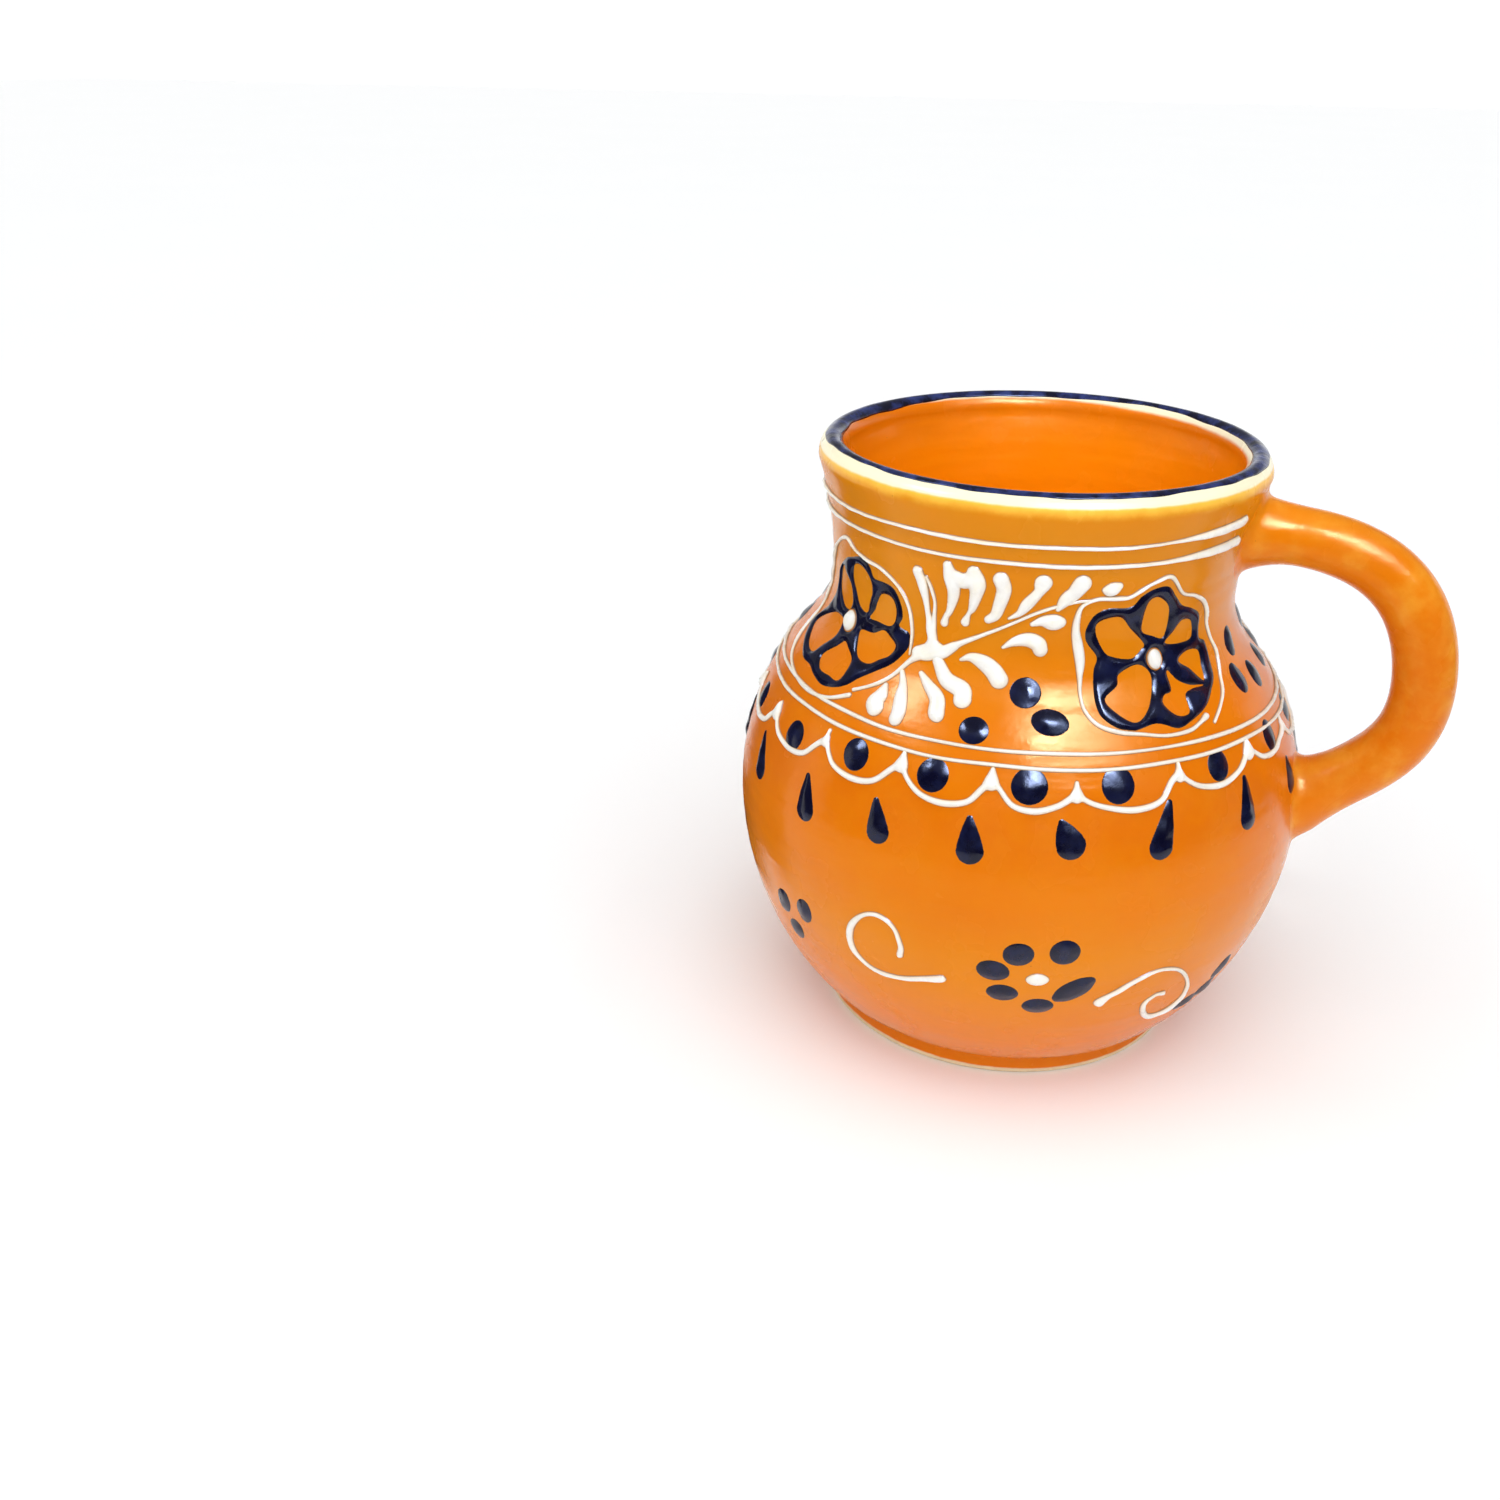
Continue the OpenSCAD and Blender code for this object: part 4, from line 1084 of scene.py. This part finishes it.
# Belly flower: dots as (along, up, width, tall, lean) round its middle, and its heart as (width, tall, lean)
DAISY_DOTS = [(-3.2, 4.8, 4.7, 4.3, 10), (3.5, 5.4, 4.6, 4.5, -20), (-6.7, 1.2, 5.1, 4.1, -12),
              (-5, -3.3, 4.9, 3.7, -4), (0.8, -5.9, 4.9, 3.7, 0), (5.9, -2.2, 7.4, 4.1, 38)]
DAISY_HEART = (3.6, 2.6, 0)
DAISY_MIDDLE = (-71.4, 28.8)
BELLY_TURNS = (0, 120, 240)


def make_daisies(cobalt, slip):
    middles = [turned(DAISY_MIDDLE, turn) for turn in BELLY_TURNS]
    dots = [beside(middle, *row) for middle in middles for row in DAISY_DOTS]
    hearts = [(*middle, *DAISY_HEART) for middle in middles]
    dots_piece("cobalt_belly_flowers", dots, cobalt, "daisy_dots", edge=1.6)
    dots_piece("slip_belly_flower_hearts", hearts, slip, "daisy_centres", SLIP_RISE, 0.9)


# Scrolls, as brush points in the places where they were seen, laid with a share of these half widths
LEFT_SCROLL = [(-97.9, 29.4, 0.85), (-97.7, 31.5, 0.62), (-99.1, 34.4, 0.55), (-102.1, 35.8, 0.55),
               (-105.7, 34.8, 0.62), (-108.7, 31.4, 0.82), (-108.8, 27.4, 0.78), (-105.1, 24.6, 0.66),
               (-99.2, 24.2, 0.66), (-93.7, 25.6, 0.85), (-89.5, 26.6, 0.9)]
RIGHT_SCROLL = [(-58.1, 23.4, 1.3), (-56.1, 24.8, 0.85), (-53.1, 26.5, 0.66), (-48.5, 28.3, 0.55),
                (-44.3, 28.2, 0.52), (-40.3, 26.4, 0.55), (-36.6, 22.6, 0.55), (-35.7, 18.6, 0.62),
                (-39.1, 16.2, 0.72), (-44.1, 16.9, 0.72), (-46.9, 20.4, 0.62), (-45.3, 22.4, 0.55),
                (-43.1, 22.5, 0.62)]
SCROLL_WIDTH_SHARE = 0.76


def make_scrolls(material):
    sheets = []
    for turn in BELLY_TURNS:
        for scroll in (LEFT_SCROLL, RIGHT_SCROLL):
            line = [(a + turn, z, w * SCROLL_WIDTH_SHARE) for a, z, w in scroll]
            angles, heights, _ = zip(*line)
            sheet = Sheet((min(angles) - 3, max(angles) + 3), (min(heights) - 2, max(heights) + 2))
            sheet.stroke(sway(line, 0.04))
            sheets.append(sheet)
    raised("trailed_scrolls", sheets, SLIP_RISE, 0.6, 0.1, material, "scrolls")


SEEN_BELLY_DOTS = [(-129.7, 28.1, 5.4, 3.9, 60), (-121.9, 29.4, 5.1, 3.8, 70), (-126.9, 23.4, 4.7, 3.8, 50),
                   (-24.2, 21.8, 5.0, 3.7, 60), (-26, 17.6, 4.7, 3.8, 40), (-31, 15.9, 4.8, 3.7, 20)]
BACK_TRIO_MIDDLES = [(96, 27), (119, 27)]
BACK_TRIO = [(-2.3, 2.4), (2.8, 1.6), (0.4, -3)]
BACK_TRIO_DOT = (4.5, 3.9)


def make_belly_dots(material):
    dots = list(SEEN_BELLY_DOTS)
    for middle in BACK_TRIO_MIDDLES:
        dots += [uneven_dot(*beside(middle, *place), *BACK_TRIO_DOT) for place in BACK_TRIO]
    dots_piece("cobalt_belly_dots", dots, material, "belly_dots")


# Stage and light, in metres

TABLE_HALF, TABLE_CUTS = 4.0, 8

# Dark cards round the mug, as (first angle, last angle, distance, height)
CARDS = [(-150, 30, 0.25, 0.19), (-190, -152, 0.078, 0.08), (-236, -168, 0.06, 0.03)]
CARD_FOOT, CARD_COLUMNS = 0.0005, 41

# The wide soft light from above as (azimuth, elevation), and the narrow one through the mouth of the mug
SKY_FROM, SKY_POWER, SKY_SPREAD = (-76, 66), 2.75, 88
INNER_FROM, INNER_POWER, INNER_CONE = (-90, 58), 6.5, 7.0
INNER_AIM, INNER_DISTANCE, INNER_SIZE = Vector((0, 0.002, 0.1)), 0.5, 0.03

# Windows that the gloss shows, as (name, azimuth, elevation, distance, width, height, power)
WINDOWS = [("window_right", -47, 44, 0.9, 0.6, 0.42, 6.5), ("window_heart", -55, 47, 0.9, 0.36, 0.28, 7.0),
           ("window_core", -62, 49, 0.9, 0.16, 0.14, 1.8), ("window_left", -145, 44, 1.0, 0.28, 0.22, 4.4)]
WINDOW_COLOUR = (0.8, 1.0, 1.6)
WINDOW_AIM = Vector((0, 0, 0.06))

# The studio's dome: white down by the table's far edge and dimmer overhead, by the height of the direction
BACKDROP_TOP, DOME_FROM = 0.14, 0.30
BACKDROP_LIGHT, DOME_LIGHT = 1.15, 0.26
DOME_COLOUR = (0.98, 0.99, 1.0, 1)


def grid_faces(rows, columns, base=0):
    """Faces of an open sheet of rows of points"""
    corners = [base + j * columns + i for j in range(rows - 1) for i in range(columns - 1)]
    return [(k, k + 1, k + columns + 1, k + columns) for k in corners]


def make_table():
    n = Nodes("pale_table")
    colour = n.blend(n.noise(180, 3.0), srgb(252, 253, 253), srgb(255, 255, 255))
    material = n.finish(colour, 0.55, n.bump([(n.noise(3, 3.0), 0.02)]))
    ticks = np.linspace(-TABLE_HALF, TABLE_HALF, TABLE_CUTS + 1)
    points = [(x, y, 0.0) for y in ticks for x in ticks]
    add_mesh("pale_table", points, grid_faces(len(ticks), len(ticks)), material)


def make_cards():
    """Dark cards, as a studio uses to darken what a gloss mirrors, which only the gloss sees"""
    n = Nodes("dark_card")
    colour = n.blend(n.noise(90), srgb(30, 28, 26), srgb(44, 40, 36))
    material = n.finish(colour, 0.8, n.bump([(n.noise(4), 0.1)]))
    points, faces = [], []
    for first, last, radius, top in CARDS:
        angles = np.radians(np.linspace(first, last, CARD_COLUMNS))
        faces += grid_faces(2, CARD_COLUMNS, len(points))
        points += [(radius * math.cos(a), radius * math.sin(a), z) for z in (CARD_FOOT, top) for a in angles]
    card = add_mesh("dark_card", points, faces, material)
    card.visible_camera = False
    card.visible_diffuse = False
    card.visible_shadow = False


def direction(azimuth, elevation):
    a, e = math.radians(azimuth), math.radians(elevation)
    return Vector((math.cos(e) * math.cos(a), math.cos(e) * math.sin(a), math.sin(e)))


def add_lamp(name, kind, power, away):
    """A lamp that shines against a direction"""
    light = bpy.data.lights.new(name, kind)
    light.energy = power
    lamp = add_object(name, light)
    lamp.rotation_euler = away.to_track_quat("Z", "Y").to_euler()
    return lamp


def add_window(name, azimuth, elevation, distance, width, height, power):
    """A soft rectangular light that looks at the middle of the mug"""
    away = direction(azimuth, elevation)
    lamp = add_lamp(name, "AREA", power, away)
    lamp.data.shape = "RECTANGLE"
    lamp.data.size, lamp.data.size_y = width, height
    lamp.data.color = WINDOW_COLOUR
    lamp.location = WINDOW_AIM + away * distance
    lamp.visible_diffuse = False


def add_sky_light():
    lamp = add_lamp("top_light", "SUN", SKY_POWER, direction(*SKY_FROM))
    lamp.data.angle = math.radians(SKY_SPREAD)
    lamp.visible_glossy = False


def add_inner_light():
    """A narrow light that falls through the mouth on to the far inside wall"""
    away = direction(*INNER_FROM)
    lamp = add_lamp("inner_light", "SPOT", INNER_POWER, away)
    lamp.data.spot_size = math.radians(INNER_CONE)
    lamp.data.spot_blend = 0.5
    lamp.data.shadow_soft_size = INNER_SIZE
    lamp.location = INNER_AIM + away * INNER_DISTANCE
    lamp.visible_glossy = False


def make_light():
    world = bpy.data.worlds.new("studio")
    bpy.context.scene.world = world
    world.use_nodes = True
    nodes, links = world.node_tree.nodes, world.node_tree.links
    place = nodes.new("ShaderNodeTexCoord")
    parts = nodes.new("ShaderNodeSeparateXYZ")
    links.new(place.outputs["Generated"], parts.inputs[0])
    fade = nodes.new("ShaderNodeMapRange")
    fade.interpolation_type = "SMOOTHSTEP"
    for socket, value in zip(list(fade.inputs)[1:5], (BACKDROP_TOP, DOME_FROM, BACKDROP_LIGHT, DOME_LIGHT)):
        socket.default_value = value
    links.new(parts.outputs["Z"], fade.inputs["Value"])
    background = nodes["Background"]
    background.inputs["Color"].default_value = DOME_COLOUR
    links.new(fade.outputs[0], background.inputs["Strength"])
    add_sky_light()
    add_inner_light()
    for row in WINDOWS:
        add_window(*row)


# Camera, placed in millimetres
CAMERA_PLACE = (42.71, -234.5, 157.11)
CAMERA_HEADING = 111.373
CAMERA_PITCH = -25.643
CAMERA_ROLL = 0.435
CAMERA_LENS = 36.0


def make_camera():
    camera = bpy.data.cameras.new("photo_camera")
    camera.sensor_width = 36.0
    camera.lens = CAMERA_LENS
    camera.clip_start = 0.01
    thing = add_object("photo_camera", camera)
    ahead = direction(CAMERA_HEADING, CAMERA_PITCH)
    right = ahead.cross(Vector((0, 0, 1))).normalized()
    up = right.cross(ahead)
    roll = math.radians(CAMERA_ROLL)
    right, up = right * math.cos(roll) + up * math.sin(roll), up * math.cos(roll) - right * math.sin(roll)
    axes = Matrix((right, up, -ahead)).transposed().to_4x4()
    thing.matrix_world = Matrix.Translation(Vector(CAMERA_PLACE) * MM) @ axes
    bpy.context.scene.camera = thing


def make_mug():
    orange = pot_glaze()
    slip = white_slip()
    cobalt = cobalt_glaze("cobalt_glaze", 0.12)
    make_pot(orange)
    make_handle(handle_glaze())
    make_lip_band(cobalt_glaze("cobalt_glaze_lip", 0.7))
    make_neck_lines(slip)
    make_shoulder_lines(slip)
    make_scallops(slip)
    make_scallop_dots(cobalt)
    make_drops(cobalt)
    make_flowers(cobalt, slip)
    make_sprays(slip)
    make_shoulder_dots(cobalt)
    make_daisies(cobalt, slip)
    make_scrolls(slip)
    make_belly_dots(cobalt)


make_mug()
make_table()
make_cards()
make_light()
make_camera()
bpy.context.scene.view_settings.view_transform = "Standard"
